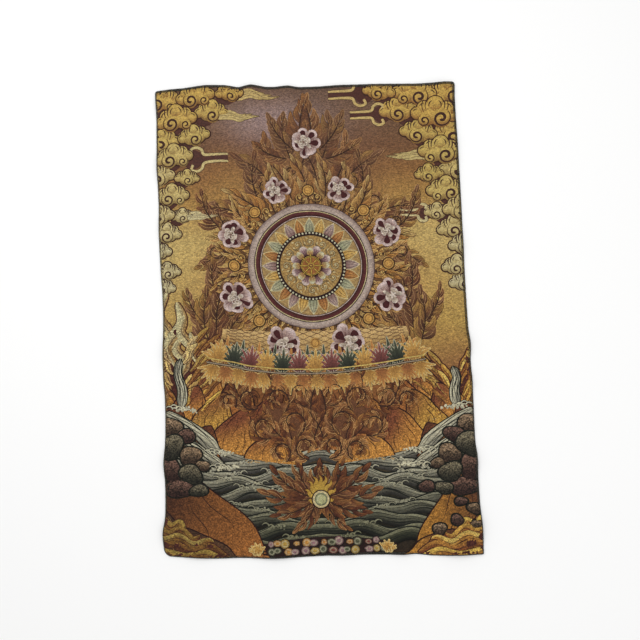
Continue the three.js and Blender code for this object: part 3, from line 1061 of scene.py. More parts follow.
def lotus_petal(piece, at, width, root_tint, tip_tint, layer):
    """A pointed lotus petal of length 1 along u, with a pale border and fine lines up it."""
    line = at.line([(0, 0), (0.5, 0), (1.0, 0)], 2.8)
    t = np.linspace(0, 1, len(line))
    shape = (0.7 + 0.3 * np.sin(math.pi * np.clip(t * 1.1, 0, 1))) * (1 - t**4) + 0.02

    def tint(t, s):
        return mix(root_tint, tip_tint, t)

    outlined(piece, line, width * shape, CREAM, layer, 2.4, DARK_MAROON)
    ribbon(piece, line[:-1], (width * shape - 3.2)[:-1], tint, layer + 1.3)
    for off in (-0.26, 0, 0.26):
        u = np.array([0.02, 0.45, 0.84])
        v = off * width / at.size * np.array([1, 1, 0.3])
        stroke(piece, at.line(np.stack([u, v], -1), 3.4), 1.1, DARK_MAROON, layer + 1.5)


# The petals of the mandala's lotus by turns. Each row is (root, tip).
LOTUS_TINTS = [
    threads("#582a2b #b3a097"),
    threads("#9d7733 #c0a163"),
    threads("#6d725a #aca98c"),
    threads("#733d20 #b3854c"),
]


def scroll(piece, at, tint, light, layer):
    """A vine scroll: a stem that curls in on itself, with a bud and two small leaves."""
    into = at.line([(-1.0, -0.35), (-0.62, -0.6), (-0.1, -0.62)], 2)[:-1]
    vine = np.vstack([into, at(curl((0, 0), 0.62, 1.2, -98, step=0.15))])
    widths = taper(len(vine), 0.24 * at.size, tip=0.5, root=0.3, belly=0.4)
    outlined(piece, vine, widths, lambda t, s: mix(tint, light, t), layer, 2.0, DARK_BROWN)
    disc(piece, at((0, 0)), 0.18 * at.size, light, layer + 1.6)
    for u, v, way in ((-0.7, -0.42, 115), (-0.3, 0.5, 150)):
        line = at.line([toward((u, v), way, reach) for reach in (0, 0.25, 0.5)], 2)
        ribbon(piece, line, taper(len(line), 0.28 * at.size), light, layer + 1.0)


SPOKES = 8


def wheel(piece, radius, layer):
    """A golden wheel: a rim and a hub, with spokes that swell twice and end beyond the rim."""
    rounds(piece, MANDALA, [(radius + 2, DARK_MAROON), (radius * 0.98, thread("#86562c"))], layer)
    for reach, width in ((0.9, 0.2), (0.26, 0.14)):
        ring(piece, reach * radius, width * radius, YELLOW, layer + 1.8, step=2)
    stroke(piece, circle(0.9 * radius, 2), 1.4, MAROON, layer + 2.2, closed=True)
    t = np.linspace(0, 1, 12)
    swell = 0.09 + 0.09 * np.exp(-(((t - 0.42) / 0.12) ** 2)) + 0.08 * np.exp(-(((t - 0.9) / 0.07) ** 2))
    swell[-1] = 0.01
    for k in range(SPOKES):
        way = 360 / SPOKES * k
        line = np.array([about_middle(way, r * radius) for r in np.linspace(0.2, 1.16, 12)])
        outlined(piece, line, radius * swell, YELLOW, layer + 2.2, 1.6, DARK_MAROON)
    rounds(piece, MANDALA, [(0.2 * radius, WINE), (0.12 * radius, YELLOW)], layer + 4.0)


def mandala():
    """Rings of bands, lotus petals, pearls and vine scrolls round a lotus that holds a wheel."""
    bands, lotus = Piece("mandala_rings"), Piece("mandala_lotus")
    radius = MANDALA_RADIUS
    disc(bands, MANDALA, radius + 3, DARK_MAROON, 12.0, step=6)
    rim_in, rim_out = threads("#7d6b66 #a4948b")
    ring(bands, radius - 4.5, 13, lambda t, s: mix(rim_in, rim_out, smooth(s, -1, 0.3)), 13.0)
    ring(bands, radius - 13.0, 2.2, CREAM, 13.4)
    ring(bands, radius - 18.0, 8.5, lambda t, s: mix(WINE, MAROON, smooth(s, -1, 1)), 13.0)
    ring(bands, radius - 23.5, 2.0, thread("#b3a097"), 13.4)
    disc(bands, MANDALA, radius - 24.5, thread("#957b50"), 12.8, step=6)
    for k in range(24):
        lotus_petal(lotus, around(15 * k, 60, 37), 22, *LOTUS_TINTS[k % 4], 13.4 + 1.7 * (k % 2))
    disc(bands, MANDALA, 69, DARK_MAROON, 18.0, step=5)
    for k in range(60):
        disc(bands, about_middle(6 * k, 65.5), 2.6, PALE, 18.8)
    glow, dusk = threads("#b69c68 #997c4a")
    disc(bands, MANDALA, 61, lambda s, a: mix(glow, dusk, smooth(s, 0.1, 1)), 19.0, step=5)
    for k in range(60):
        line = np.array([about_middle(6 * k + 3, r) for r in (30, 40, 50, 59)])
        stroke(bands, line, 1.1, thread("#6f5130"), 19.4)
    for k in range(12):
        scroll(lotus, around(30 * k, 48, 12.8, -90), thread("#6d5a3a"), CREAM, 19.8)
    for k in range(16):
        outer = k < 8
        at = around(45 * k + (22.5 if outer else 0), 16 if outer else 14, 25 if outer else 22)
        tints = (MAROON, MAUVE, thread("#b8a8a0")) if outer else (RUST, thread("#a08a5c"), PALE)
        petal(lotus, at, 17 if outer else 14, tints, (21.8 if outer else 24.2) + 0.9 * (k % 2))
    wheel(lotus, 20, 26.6)
    return bands, lotus


# ---------------------------------------------------------------- the throne of fans, and the undergrowth

# Ways to shade a fan. Each row is (root, tip, outline).
FAN_TINTS = {
    "gold": threads("#8f6730 #b48c4a #c6b078"),
    "maroon": threads("#4c2420 #7a4640 #b8a498"),
    "green": threads("#171a13 #3a4030 #a8a48c"),
    "rust": threads("#7a4a26 #a5723c #bf9c62"),
}
BLADES = (-1, 1, -0.72, 0.72, -0.46, 0.46, -0.22, 0.22, 0)  # how far each turns, as a share of the spread


def fan(piece, at, tints, layer, spread=64.0):
    """A tuft of pointed blades with pale borders, that spread from one foot for a reach of 1 along u."""
    dark, light, outline = tints

    def tint(t, s):
        return mix(dark, light, smooth(t, 0.1, 0.9))

    disc(piece, at((0.34, 0)), 0.36 * at.size, dark, layer - 0.8, step=6)
    for k, share in enumerate(BLADES):
        a = math.radians(spread * share)
        reach = (1 - 0.22 * abs(math.sin(a))) * (0.84 if k % 4 > 1 else 1.0)
        u = np.array([0, 0.5, 0.82, 1]) * reach * math.cos(a)
        v = np.array([0, 0.36, 0.72, 1.04]) * reach * math.sin(a)
        line = at.line(np.stack([u, v], -1), 5.0)
        widths = taper(len(line), 0.15 * at.size, root=0.3, belly=0.45)
        outlined(piece, line, widths, tint, layer + 0.4 * k, 3.0, outline)


SWAG = (MID_X, 786.0)  # the middle of the arc that the throne follows
SWAG_REACH = 900.0
# The rows of fans. Each row is (count, the arc they span, length, off the band, colours by turns, layer).
FAN_ROWS = [
    (17, 25.4, 40, 1, ("gold", "rust"), 17.0),
    (12, 23, 54, -2, ("green", "rust"), 12.0),
    (13, 24.6, 46, -2, ("gold", "maroon", "green"), 17.0),
]
# The bands under the fans. Each row is (off the arc, width, tint, layer).
THRONE_BANDS = [
    (0, 5.0, BLACK_GREEN, 21.8),
    (0, 2.8, thread("#b09c84"), 22.4),
    (-8, 3.4, thread("#b49c58"), 22.0),
]
CUSHION_OFF, CUSHION_WIDTH, CUSHION_LAYER = -58, 50, 10.6
CUSHION_ARC, THRONE_ARC = 12.4, 13.6  # half the arc that each spans, in degrees
CUSHION_TINTS = threads("#967848 #b89a66")


def swag(off, half_arc):
    """Places along the arc of the throne, or `off` mm outside it."""
    return arc(SWAG, SWAG_REACH + off, 270 - half_arc, 270 + half_arc, 4)


def cushion(piece):
    """The golden cushion of the throne, with fine crossing waves of thread."""
    line = swag(CUSHION_OFF, CUSHION_ARC)
    widths = taper(len(line), CUSHION_WIDTH, root=0.3, tip=0.3) ** 0.8 * CUSHION_WIDTH**0.2

    def tint(t, s):
        return mix(*CUSHION_TINTS, smooth(s, -1, 0.8))

    outlined(piece, line, widths, tint, CUSHION_LAYER, 3.0, DARK_BROWN)
    run = 4.0 * np.arange(len(line))
    for k in range(9):
        off = (k - 4) / 4.6 * widths / 2 + 2.6 * np.sin(run / 4.4 + math.pi * k)
        stroke(piece, beside(line, off)[2:-2], 1.3, BROWN, CUSHION_LAYER + 1.4)


def throne():
    """A curved band under the mandala, with a cushion, fans that stand on it and fans that hang from it."""
    piece = Piece("throne")
    cushion(piece)
    for count, spread, length, off, colours, layer in FAN_ROWS:
        for k in range(count):
            way = 270 + spread * (k / (count - 1) - 0.5)
            facing = way if off > 0 else way + 180
            colour = colours[abs(2 * k - count + 1) // 2 % len(colours)]
            fan(piece, At(*toward(SWAG, way, SWAG_REACH + off), length, facing), FAN_TINTS[colour], layer)
    for off, width, tint, layer in THRONE_BANDS:
        ribbon(piece, swag(off, THRONE_ARC), width, tint, layer)
    return piece


# Sprays of the undergrowth, mirrored. Each row is (across, y, length, turn, layer).
UNDERGROWTH_SPRAYS = [
    (14, -196, 72, 82, 16.4), (76, -176, 62, 58, 16.8), (132, -176, 52, 34, 16.0),
    (62, -240, 64, 30, 17.2), (10, -254, 62, 88, 17.2),
]
# Leafy scrolls of the undergrowth, mirrored. Each row is (across, y, radius, turn, inward or outward, layer).
UNDERGROWTH_SCROLLS = [
    (30, -150, 27, 250, 1, 17.6), (80, -162, 29, 240, -1, 19.0), (132, -158, 25, 230, 1, 17.8),
    (174, -166, 19, 220, -1, 18.6), (50, -206, 29, 250, -1, 20.4), (104, -212, 26, 240, 1, 20.0),
    (24, -252, 25, 260, 1, 21.4), (74, -260, 23, 240, -1, 21.6),
]


def undergrowth():
    """Sprays and leafy scrolls of rust and brown below the throne."""
    piece = Piece("undergrowth")
    disc(piece, (MID_X, -208), 86, thread("#5e3c27"), 15.8, lobes(9, 0.2, 0.3), (1.6, 0.62), step=8)
    for hand in SIDES:
        for *at, layer in UNDERGROWTH_SPRAYS:
            spray(piece, mirrored(hand, *at), 0.7, 4, layer, RUST_LEAVES, 0.46)
        for *at, side, layer in UNDERGROWTH_SCROLLS:
            leafy_scroll(piece, mirrored(hand, *at), side, RUST_LEAVES, layer)
    return piece


# ---------------------------------------------------------------- hills, streams and rocks

HILL_TINTS = {  # the foot, the peak, and the strokes down the face
    "orange": threads("#a87638 #6a3c26 #34160f"),
    "rust": threads("#8e5a2e #54301f #2a1410"),
    "gold": threads("#a67f3a #774e2a #3a1a17"),
    "brown": threads("#4f3724 #33221a #86673f"),
    "slope": threads("#8c592b #321b15 #25130f"),
    "bank": threads("#a5742f #4e2f1e #2c140d"),
}
# The hills, mirrored on both sides. Each row is (across, foot, width, height, lean, colour, layer).
HILLS = [
    (196, -122, 72, 58, -0.2, "gold", 7.4), (238, -146, 76, 54, -0.3, "rust", 8.0),
    (282, -168, 92, 58, -0.3, "orange", 8.6), (212, -166, 90, 66, -0.35, "orange", 9.4),
    (302, -192, 84, 52, -0.3, "gold", 10.2), (164, -196, 100, 88, -0.3, "rust", 10.8),
    (254, -204, 96, 70, -0.35, "orange", 11.8), (206, -222, 96, 74, -0.35, "gold", 12.6),
    (110, -250, 104, 100, -0.3, "orange", 13.0), (290, -228, 90, 56, -0.35, "rust", 13.4),
    (168, -264, 108, 84, -0.35, "orange", 14.4), (0.5, -260, 120, 104, 0.0, "rust", 14.8),
    (230, -266, 92, 56, -0.4, "rust", 15.0), (88, -280, 112, 72, -0.3, "orange", 15.8),
]
# The banks in front of the waters, at the lower corner of each side. Each row is as in HILLS.
BANKS = {
    -1: [
        (300, -462, 440, 186, 0.0, "slope", 19.0),
        (262, -470, 230, 70, 0.1, "brown", 21.6),
        (310, -470, 170, 104, 0.0, "brown", 23.6),
    ],
    1: [
        (290, -466, 256, 190, 0.0, "bank", 19.0),
        (236, -470, 190, 62, 0.1, "bank", 21.6),
        (304, -470, 140, 96, 0.0, "bank", 23.6),
    ],
}
HILL_MARKS = 6  # the strokes down the face of a hill


def hill(piece, x, y, width, height, lean, tints, layer, slant, reach):
    """A pointed hill with strokes and dots on its face.

    The face turns lighter to its foot and, by `slant`, to one side, over a share `reach` of its height.
    """
    low, high, mark = tints
    t = np.linspace(0, 1, max(8, int(height / 5)))
    line = np.stack([x + lean * height * (1 - t) ** 1.3, y + height * (1 - t)], -1)
    widths = width * t**0.68 * (1 + 0.06 * np.sin(8 * t + x)) + 0.4
    ribbon(piece, line, widths, lambda t, s: mix(high, low, smooth(t + slant * s, 0.2, 0.2 + reach)), layer)
    rims(piece, line, widths, 2.6, DARK_MAROON, layer + 0.2)
    for k in range(HILL_MARKS):
        off = -0.86 + 1.72 * (k + 0.5) / HILL_MARKS
        start = 0.1 + 0.62 * ((k * 0.618) % 1)
        slope = beside(line, (off + 0.05 * np.sin(14 * t + k)) * widths / 2)
        slope = slope[(t > start) & (t < start + 0.55)]
        brush(piece, slope, 2.2, mark, layer + 0.4, root=0.1, tip=0.1, belly=0.4)
    for k in range(int(width / 4)):
        off, up = random.uniform(-0.5, 0.5), 7 * random.uniform(-0.2, 1) ** 2
        dot = (x + off * width * (1 - up / height), y + up)
        disc(piece, dot, 1.5, mix(low, CREAM, 0.45), layer + 0.6, step=4)


CLIFF_TINTS = [  # the lower and the upper side of a tongue of rock
    threads("#8f5f2a #c0a04e"),
    threads("#7d4e24 #ae8840"),
    threads("#96692e #c6aa5c"),
    threads("#6f4020 #9c6e32"),
]
CLIFF_CLEFT = thread("#41201a")
CLIFF_TOP, CLIFF_FOOT, CLIFF_STEP = 18.0, -190.0, 22.0  # y of its ends, and from one row to the next
# The tongues of rock in a row of the cliffs, mirrored. Each row is (across, turn, length).
CLIFF_TONGUES = [
    (308, 80, 44), (293, 68, 54), (277, 62, 46),
    (260, 118, 46), (245, 128, 58), (227, 136, 64),
]
# The pale peaks above the cliff on the left. Each row is (across, foot, length, turn, width, wave).
PEAKS = [
    (296, -84, 132, 91, 25, 1.6), (271, -96, 124, 88, 25, -1.8),
    (247, -90, 92, 82, 21, 1.4), (284, -104, 84, 96, 22, -1.3),
    (259, -110, 70, 84, 19, 1.8), (231, -88, 58, 74, 17, -1.0),
    (303, -112, 62, 90, 20, 1.2),
]
PEAK_TINTS = threads("#84663a #afa680")


def tongue(piece, at, width, wave, tints, layer):
    """A tongue of rock of length 1 along u: a wavy band with a round tip, lit from above, with a crease."""
    under, upper = tints
    line = at.line([(0, 0), (0.3, 0.07 * wave), (0.66, -0.06 * wave), (1.0, 0.05)], 5)
    t = np.linspace(0, 1, len(line))
    widths = width * (0.4 + 0.6 * smooth(t, 0, 0.55)) * np.sqrt(1 - 0.98 * t**4)

    def tint(t, s):
        return mix(under, upper, smooth(-at.hand * s + 0.6 * t, -0.6, 0.8))

    outlined(piece, line, widths, tint, layer, 5.2, CLIFF_CLEFT)
    crease = beside(line, at.hand * 0.12 * widths)[1:-2]
    brush(piece, crease, 2.4, MAROON, layer + 1.0, root=0.3)


def cliffs(piece, hand, drop):
    """Slanted tongues of golden rock over maroon clefts, that start `drop` mm lower than CLIFF_TOP.

    On the left, pale peaks rise above them and the upper tongues are paler.
    """
    backing = np.linspace((MID_X + hand * 276, 6 - drop), (MID_X + hand * 270, CLIFF_FOOT), 24)
    ribbon(piece, backing, taper(24, 92, root=0.0, tip=0.8, belly=0.5), CLIFF_CLEFT, 8.7)
    if hand < 0:
        for k, (*at, width, wave) in enumerate(PEAKS):
            tongue(piece, mirrored(hand, *at), width, wave, PEAK_TINTS, 8.9 + 0.7 * (k % 3))
    for row in range(int((CLIFF_TOP - drop - CLIFF_FOOT) / CLIFF_STEP)):
        for k, (across, turn, length) in enumerate(CLIFF_TONGUES):
            sway, dx, dy = random.uniform(-1, 1, 3)
            y = CLIFF_TOP - drop - CLIFF_STEP * (row + 0.5 * (k % 2)) + 5 * dy
            at = mirrored(hand, across + 3 * dx, y - 16, length * (0.9 + 0.2 * sway), turn + 7 * sway)
            pale = 0.6 - 0.1 * row if hand < 0 and row < 5 and k < 4 else 0.0
            dim = 0.5 if row < 5 and k > 3 else 0.0
            tints = [mix(mix(c, CREAM, pale), BROWN, dim) for c in CLIFF_TINTS[(row + 3 * k) % 4]]
            tongue(piece, at, 12.0, sway, tints, 9.0 + 1.1 * ((row + 2 * k) % 4))


TERRACES = 5
TERRACE_LAYER = 25.8


def terraces(piece, hand):
    """Wavy terraces of rock at a lower corner of the cloth, each in front of the one above it."""
    for k in range(TERRACES):
        t = np.linspace(0, 1, 30)
        reach = 52 + 26 * k
        x = MID_X + hand * (306 - reach * t)
        y = -394 - 14 * k + 6 * np.sin(11 * t + 2.0 * k) * (0.4 + t) - 10 * t**2
        under, upper = [mix(c, BLACK_GREEN, 0.55 if hand < 0 else 0.1) for c in CLIFF_TINTS[k % 4]]
        widths = 15 * (1 + 0.12 * np.sin(17 * t + k)) * np.sqrt(1 - 0.98 * t**5)

        def tint(t, s):
            return mix(under, upper, smooth(-hand * s + 0.3 * np.sin(12 * t), -0.7, 0.7))

        line = np.stack([x, y], -1)
        layer = TERRACE_LAYER + 1.2 * k
        outlined(piece, line, widths, tint, layer, 6.0, CLIFF_CLEFT)
        crease = beside(line, hand * 0.1 * widths)[2:-3]
        brush(piece, crease, 2.4, MAROON, layer + 1.0, root=0.5)


CLIFF_DROP = {-1: 66, 1: 118}  # how much lower the cliff of each side is than CLIFF_TOP
FALL_DROP = {-1: 64, 1: 86}  # how much lower the top of its fall is than FALL_TOP
FALL_TOP, FALL_FOOT = -18.0, -180.0
FALL = [(262, 0.0), (268, 0.28), (262, 0.62), (266, 1.0)]  # across, and the share of the way down
STREAM_TINTS = threads("#b3af98 #7d7a6c")
# The streams between the hills. Each row is (the places it runs through, its width, its layer).
STREAMS = [
    ([(302, -186), (262, -206), (226, -230), (192, -262)], 22, 16.6),
    ([(302, -226), (250, -244), (214, -268), (180, -290)], 17, 17.6),
]


def stream(piece, foam, places, width, hand, layer):
    """A stream of pale water with dark lines along it, that ends in foam."""
    pale, shade = STREAM_TINTS
    line = through([(MID_X + hand * across, y) for across, y in places], 4)
    t = np.linspace(0, 1, len(line))
    widths = width * (0.8 + 0.5 * t) * (1 - 0.5 * smooth(t, 0.8, 1)) * (0.2 + 0.8 * smooth(t, 0, 0.1))

    def tint(t, s):
        return mix(pale, shade, smooth(s * hand + 0.4 * np.sin(9 * t), -0.6, 1))

    ribbon(piece, line, widths, tint, layer)
    rims(piece, line, widths, 2.2, BLACK_GREEN, layer + 0.2)
    for off in (-0.6, -0.25, 0.1, 0.42, 0.7):
        wander = off + 0.13 * np.sin(9 * t + 7 * off)
        brush(piece, beside(line, wander * widths / 2), 2.2, BLACK_GREEN, layer + 0.4, root=0.4)
    for k in range(3):
        x, y = line[-1] + (hand * 9 * (k - 1), 3 * (k % 2))
        froth(foam, x, y, hand, pale, layer + 1 + 0.6 * k)


ROCK_TINTS = [threads("#78644f #33271f"), threads("#5f473d #2a1b18"), threads("#625b4a #22211a")]
# The rocks at both sides. Each row is (across, y, radius, broad, high).
ROCKS = [
    (290, -214, 22, 1.1, 0.9), (258, -232, 17, 1.1, 0.9), (286, -252, 23, 1.1, 1.0),
    (246, -268, 19, 1.2, 0.9), (286, -294, 23, 1.0, 1.1), (246, -302, 20, 1.1, 0.9),
    (222, -286, 12, 1.1, 0.9), (270, -330, 22, 1.2, 0.85), (232, -332, 14, 1.2, 0.85),
]
# The small rocks on the bank on the right. Each row is (across, y, radius).
BANK_ROCKS = [
    (262, -358, 10), (287, -372, 12), (252, -392, 11),
    (218, -408, 12), (200, -330, 13), (286, -400, 9),
]


def rock(piece, x, y, radius, stretch, turn, tints, layer):
    """A rounded rock with a black outline, lighter at its top, with a crack."""
    light, dark = tints

    def shape(angle):
        return 1 + 0.1 * np.cos(2 * angle + turn) + 0.07 * np.cos(3 * angle - 2 * turn)

    def tint(s, angle):
        return mix(dark, light, smooth(s * np.sin(angle), -0.6, 0.8))

    disc(piece, (x, y), radius + 2.6, BLACK_GREEN, layer, shape, stretch, step=4)
    disc(piece, (x, y), radius, tint, layer + 1, shape, stretch, step=3.2)
    crack = At(x, y, radius).line([(-0.6, -0.1), (0, 0.24), (0.5, -0.3)], 4)
    stroke(piece, crack, 1.8, BLACK_GREEN, layer + 1.3)


def land(foam):
    """Hills and cliffs across the cloth, with streams between them, rocks at the sides, and corner banks."""
    hills, rocks, streams = Piece("hills"), Piece("rocks"), Piece("streams")
    for hand in SIDES:
        cliffs(hills, hand, CLIFF_DROP[hand])
        for rows, slant, reach in ((HILLS, 0.3, 0.75), (BANKS[hand], -0.7 * hand, 1.6)):
            for across, y, width, height, lean, colour, layer in rows:
                at = (MID_X + hand * across, y)
                hill(hills, *at, width, height, hand * lean, HILL_TINTS[colour], layer, slant, reach)
        terraces(hills, hand)
        top = FALL_TOP - FALL_DROP[hand]
        fall = [(across, top + (FALL_FOOT - top) * share) for across, share in FALL]
        for places, width, layer in [(fall, 17, 13.6), *STREAMS]:
            stream(streams, foam, places, width, hand, layer)
        for k, (across, y, radius, broad, high) in enumerate(ROCKS):
            at = (MID_X + hand * across, y)
            rock(rocks, *at, radius, (broad, high), 0.9 * k * hand, ROCK_TINTS[k % 3], 20 + 2.2 * (k % 3))
    for k, (across, y, radius) in enumerate(BANK_ROCKS):
        rock(rocks, MID_X + across, y, radius, (1.15, 0.9), 1.3 * k, ROCK_TINTS[1 - k % 2], 27)
    return hills, rocks, streams


# ---------------------------------------------------------------- waters and jewels

WAVE_ROWS = 11
WAVE_TOP, WAVE_STEP, WAVE_DEPTH = -258.0, 17.0, 25.0
WAVE_SHORE = 297.0  # how far the waves run to each side
WAVE_COLOURS = [  # a wave's crest, body and trough, at the top of the waters and at the bottom
    threads("#c5c1ae #727159"),
    threads("#9e9a8a #353728"),
    threads("#454340 #080905"),
]


def waters(foam):
    """Long waves in rows, darker towards the foot of the cloth, with clusters of foam on their crests."""
    waves = Piece("waves")
    x = np.linspace(-WAVE_SHORE, WAVE_SHORE, 150)
    out = np.sqrt(x**2 + 120)
    for row in range(WAVE_ROWS):
        depth = row / (WAVE_ROWS - 1)
        crest, body, trough = [mix(high, low, depth**0.5) for high, low in WAVE_COLOURS]
        layer = 2.0 + 1.5 * row
        swing = 7 * np.sin(out / 31 + 2.1 * row) + 3.6 * np.sin(out / 15 + row)
        line = np.stack([MID_X + x, WAVE_TOP - WAVE_STEP * row + swing], -1)

        def tint(t, s):
            return mix(mix(trough, body, smooth(s, -0.8, 0.3)), crest, smooth(s, 0.2, 0.9))

        ribbon(waves, line, WAVE_DEPTH, tint, layer)
        stroke(waves, beside(line, 0.5 * WAVE_DEPTH), 2.8, BLACK_GREEN, layer + 0.3)
        for k, off in enumerate((0.64, 0.34, 0.02, -0.3)):
            wander = off + 0.2 * np.sin(out / 27 + 3 * off + row)
            widths = (1.5 + 0.7 * k) * (0.3 + 0.7 * np.sin(out / (44 - 6 * k) + 5 * off + 2 * row) ** 2)
            stroke(waves, beside(line, wander * WAVE_DEPTH / 2), widths, BLACK_GREEN, layer + 0.5)
        for k in range(4 if row else 0):
            across = 26 + 66 * k + 27 * (row % 3)
            if across > 300 - 20 * row:
                continue  # the banks stand here
            y = WAVE_TOP - WAVE_STEP * row + np.interp(across, x, swing) + 0.42 * WAVE_DEPTH
            for hand in SIDES:
                froth(foam, MID_X + hand * across, y, hand * (-1) ** (row + k), 0.92 * crest, layer + 1)
    return waves


def froth(piece, x, y, hand, tint, layer):
    """Foam on a crest: a row of small breaking lips, over a heap of small rounds of mixed sizes."""
    for k in range(9):
        u, v, grow = random.uniform(-1, 1, 3)
        at = (x + hand * (-6 + 16 * u), y + 3.4 * v - 3 * abs(u))
        disc(piece, at, 2.6 + 0.9 * grow, tint * (1.0 + 0.25 * v), layer + 0.25 * k, step=4)
    for k, radius in enumerate((7.0, 5.6, 4.4)):
        lip = arc((x + hand * (14 - 10 * k), y - 1.4 * k - 1.0), radius, 90 + 84 * hand, 90 - 66 * hand, 2.4)
        widths = taper(len(lip), 3.4, tip=0.3, root=0.8, belly=0.3)
        outlined(piece, lip, widths, tint, layer + 2.4 - 0.6 * k, 2.2, BLACK_GREEN)


JEWEL_SPRAYS = [(74, 56), (40, 66), (12, 84), (-14, 86), (-42, 72), (-78, 60)]  # turn, length
JEWEL_TINTS = threads("#a06c34 #84656a #4c4e3c #a08440 #6a3733 #a8793c")
FLAME_WAYS = (200, -20, 160, 20, 130, 50, 108, 72, 90)  # the way that each flame of the jewel points
GEM = [(1.1, DARK_MAROON), (0.98, CREAM), (0.76, GREY_GREEN), (0.6, PALE_GREEN)]  # share of its size, tint


def flaming_jewel(piece, x, y, size, layer):
    """A round jewel among flames, on rust leaves that stand in the waters."""
    leaves = blended(RUST_LEAVES, MAROON, 0.3)
    for rank, (turn, length) in enumerate(JEWEL_SPRAYS):
        for hand in SIDES:
            at = At(x + hand * 8, y + 2, length, turn, hand)
            spray(piece, at, 0.6, 4, layer + 1.1 * (rank % 3), leaves, 0.44)
    for k, way in enumerate(FLAME_WAYS):
        length = (1.1 + 0.9 * math.sin(math.radians(way))) * size
        at = At(*toward((x, y), way, 0.7 * size), length, way + 0.3 * (90 - way))
        line = at.line([(0, 0), (0.4, 0.1), (0.75, -0.06), (1.0, 0.08)], 3)
        widths = taper(len(line), 0.5 * size, root=0.7, belly=0.3)
        outlined(piece, line, widths, lambda t, s: mix(GOLD, YELLOW, 1 - t), layer + 5.2 + 0.2 * k)
    rounds(piece, (x, y), [(share * size, tint) for share, tint in GEM], layer + 9.0)
    stroke(piece, arc((x, y), 0.4 * size, 80, 200, 2.4), 1.6, PALE, layer + 11.8)


def jewels():
    """Rows of small round jewels at the foot of the cloth, between fans, and the flaming jewel above them."""
    piece = Piece("jewels")
    bed = np.linspace((MID_X - 138, BOTTOM + 15), (MID_X + 138, BOTTOM + 15), 60)
    ribbon(piece, bed, taper(60, 40, root=0.3, tip=0.3), DARK_MAROON, 18.0)
    for row, half in enumerate((6, 7)):
        for k in range(-half, half + 1):
            grow, dx, dy = random.uniform(-1, 1, 3)
            at = (MID_X + 16.4 * k + 5 * dx, BOTTOM + 25 - 14 * row + 3 * dy)
            own = 7.6 + 1.8 * grow
            stretch = (1.2, 0.85) if k % 2 else (1.0, 1.0)
            ragged = lobes(5, 0.2, grow) if (k + row) % 3 == 0 else None
            tint = JEWEL_TINTS[random.integers(len(JEWEL_TINTS))]
            bright = mix(tint, PALE, 0.4)
            disc(piece, at, own + 1.2, BLACK_GREEN, 19.2 + 0.9 * row, ragged, stretch, step=4)
            shade = [mix(tint, MAROON, 0.4), bright, tint]
            rings = [(share * own, colour) for share, colour in zip((1.0, 0.8, 0.5), shade)]
            rounds(piece, at, rings, 20.0 + 0.9 * row, ragged, stretch, step=4)
    for hand in SIDES:
        for across, length, turn in ((118, 25, 74), (127, 20, 104)):
            fan(piece, mirrored(hand, across, BOTTOM + 4, length, turn), FAN_TINTS["gold"], 24.0, 50.0)
    flaming_jewel(piece, MID_X, -352, 17, 17.0)
    return piece


# ---------------------------------------------------------------- the overlocked edges

# How each side is overlocked. Each row is (side, node, how far in, thread radius, how pale the thread is).
# The same thread runs round every side; how pale it is, is painted light and shade: paler on the left, where
# the edging catches the light, and a little darker at the top.
OVERLOCKS = [
    ("top", "edging_top", 3.7, 0.6, 0.9),
    ("right", "edging_right", 3.3, 0.58, 1.0),
    ("bottom", "edging_bottom", 3.3, 0.58, 1.0),
    ("left", "edging_left", 2.1, 0.44, 2.6),
]
STITCH = 1.75  # from one stitch to the next along the edge
THREAD_TINTS = threads("#26281f #1c1e18 #35372c #2b2a22")
TUBE_SIDES = 4
CLEARANCE = 0.02  # no thread comes nearer to the surface than this
# The threads of one stitch. Each place is (in from the edge as a share of the reach, out from the edge,
# up from the cloth's underside, along in stitches).
WRAP = [  # it runs round the cut edge
    (1, 0, THICK + 0.05, 0.0),
    (0.75, 0, THICK + 0.52, 0.12),
    (0.3, 0, THICK + 0.62, 0.3),
    (0, 0.42, THICK + 0.32, 0.5),
    (0, 0.62, 0.45, 0.62),
    (0, 0.2, -0.32, 0.75),
    (0.4, 0, -0.42, 0.9),
    (1, 0, -0.1, 1.0),
]
NEEDLE = [  # it runs along the face where the wraps end
    (1, 0, THICK + 0.1, 0.0),
    (1, 0, THICK + 0.52, 0.2),
    (1, 0, THICK + 0.65, 0.5),
    (1, 0, THICK + 0.52, 0.8),
    (1, 0, THICK + 0.1, 1.02),
]
CHAIN = [(0, 0.3, 0.5, -0.2), (0, 0.75, 0.9, 0.3), (0, 0.75, 0.3, 0.8), (0, 0.35, 0.6, 1.2)]  # on the edge


def edge_line(side):
    """The cut edge in space, by stitches, with the ways along it and into the cloth at each."""
    x, y = cut_edges(4000)[side]
    if side in ("bottom", "right"):
        x, y = x[::-1], y[::-1]
    line = place(x, y, -THICK) / MM
    run = run_along(line)
    count = int(run[-1] / STITCH)
    even = np.linspace(0.4 * STITCH, run[-1] - 0.4 * STITCH, count)
    points = np.stack([np.interp(even, run, line[:, c]) for c in range(3)], -1)
    ahead = np.gradient(points, axis=0)
    ahead /= np.linalg.norm(ahead, axis=1, keepdims=True)
    inward = np.stack([ahead[:, 1], -ahead[:, 0], 0 * ahead[:, 0]], -1)
    inward /= np.linalg.norm(inward, axis=1, keepdims=True)
    return points, ahead, inward


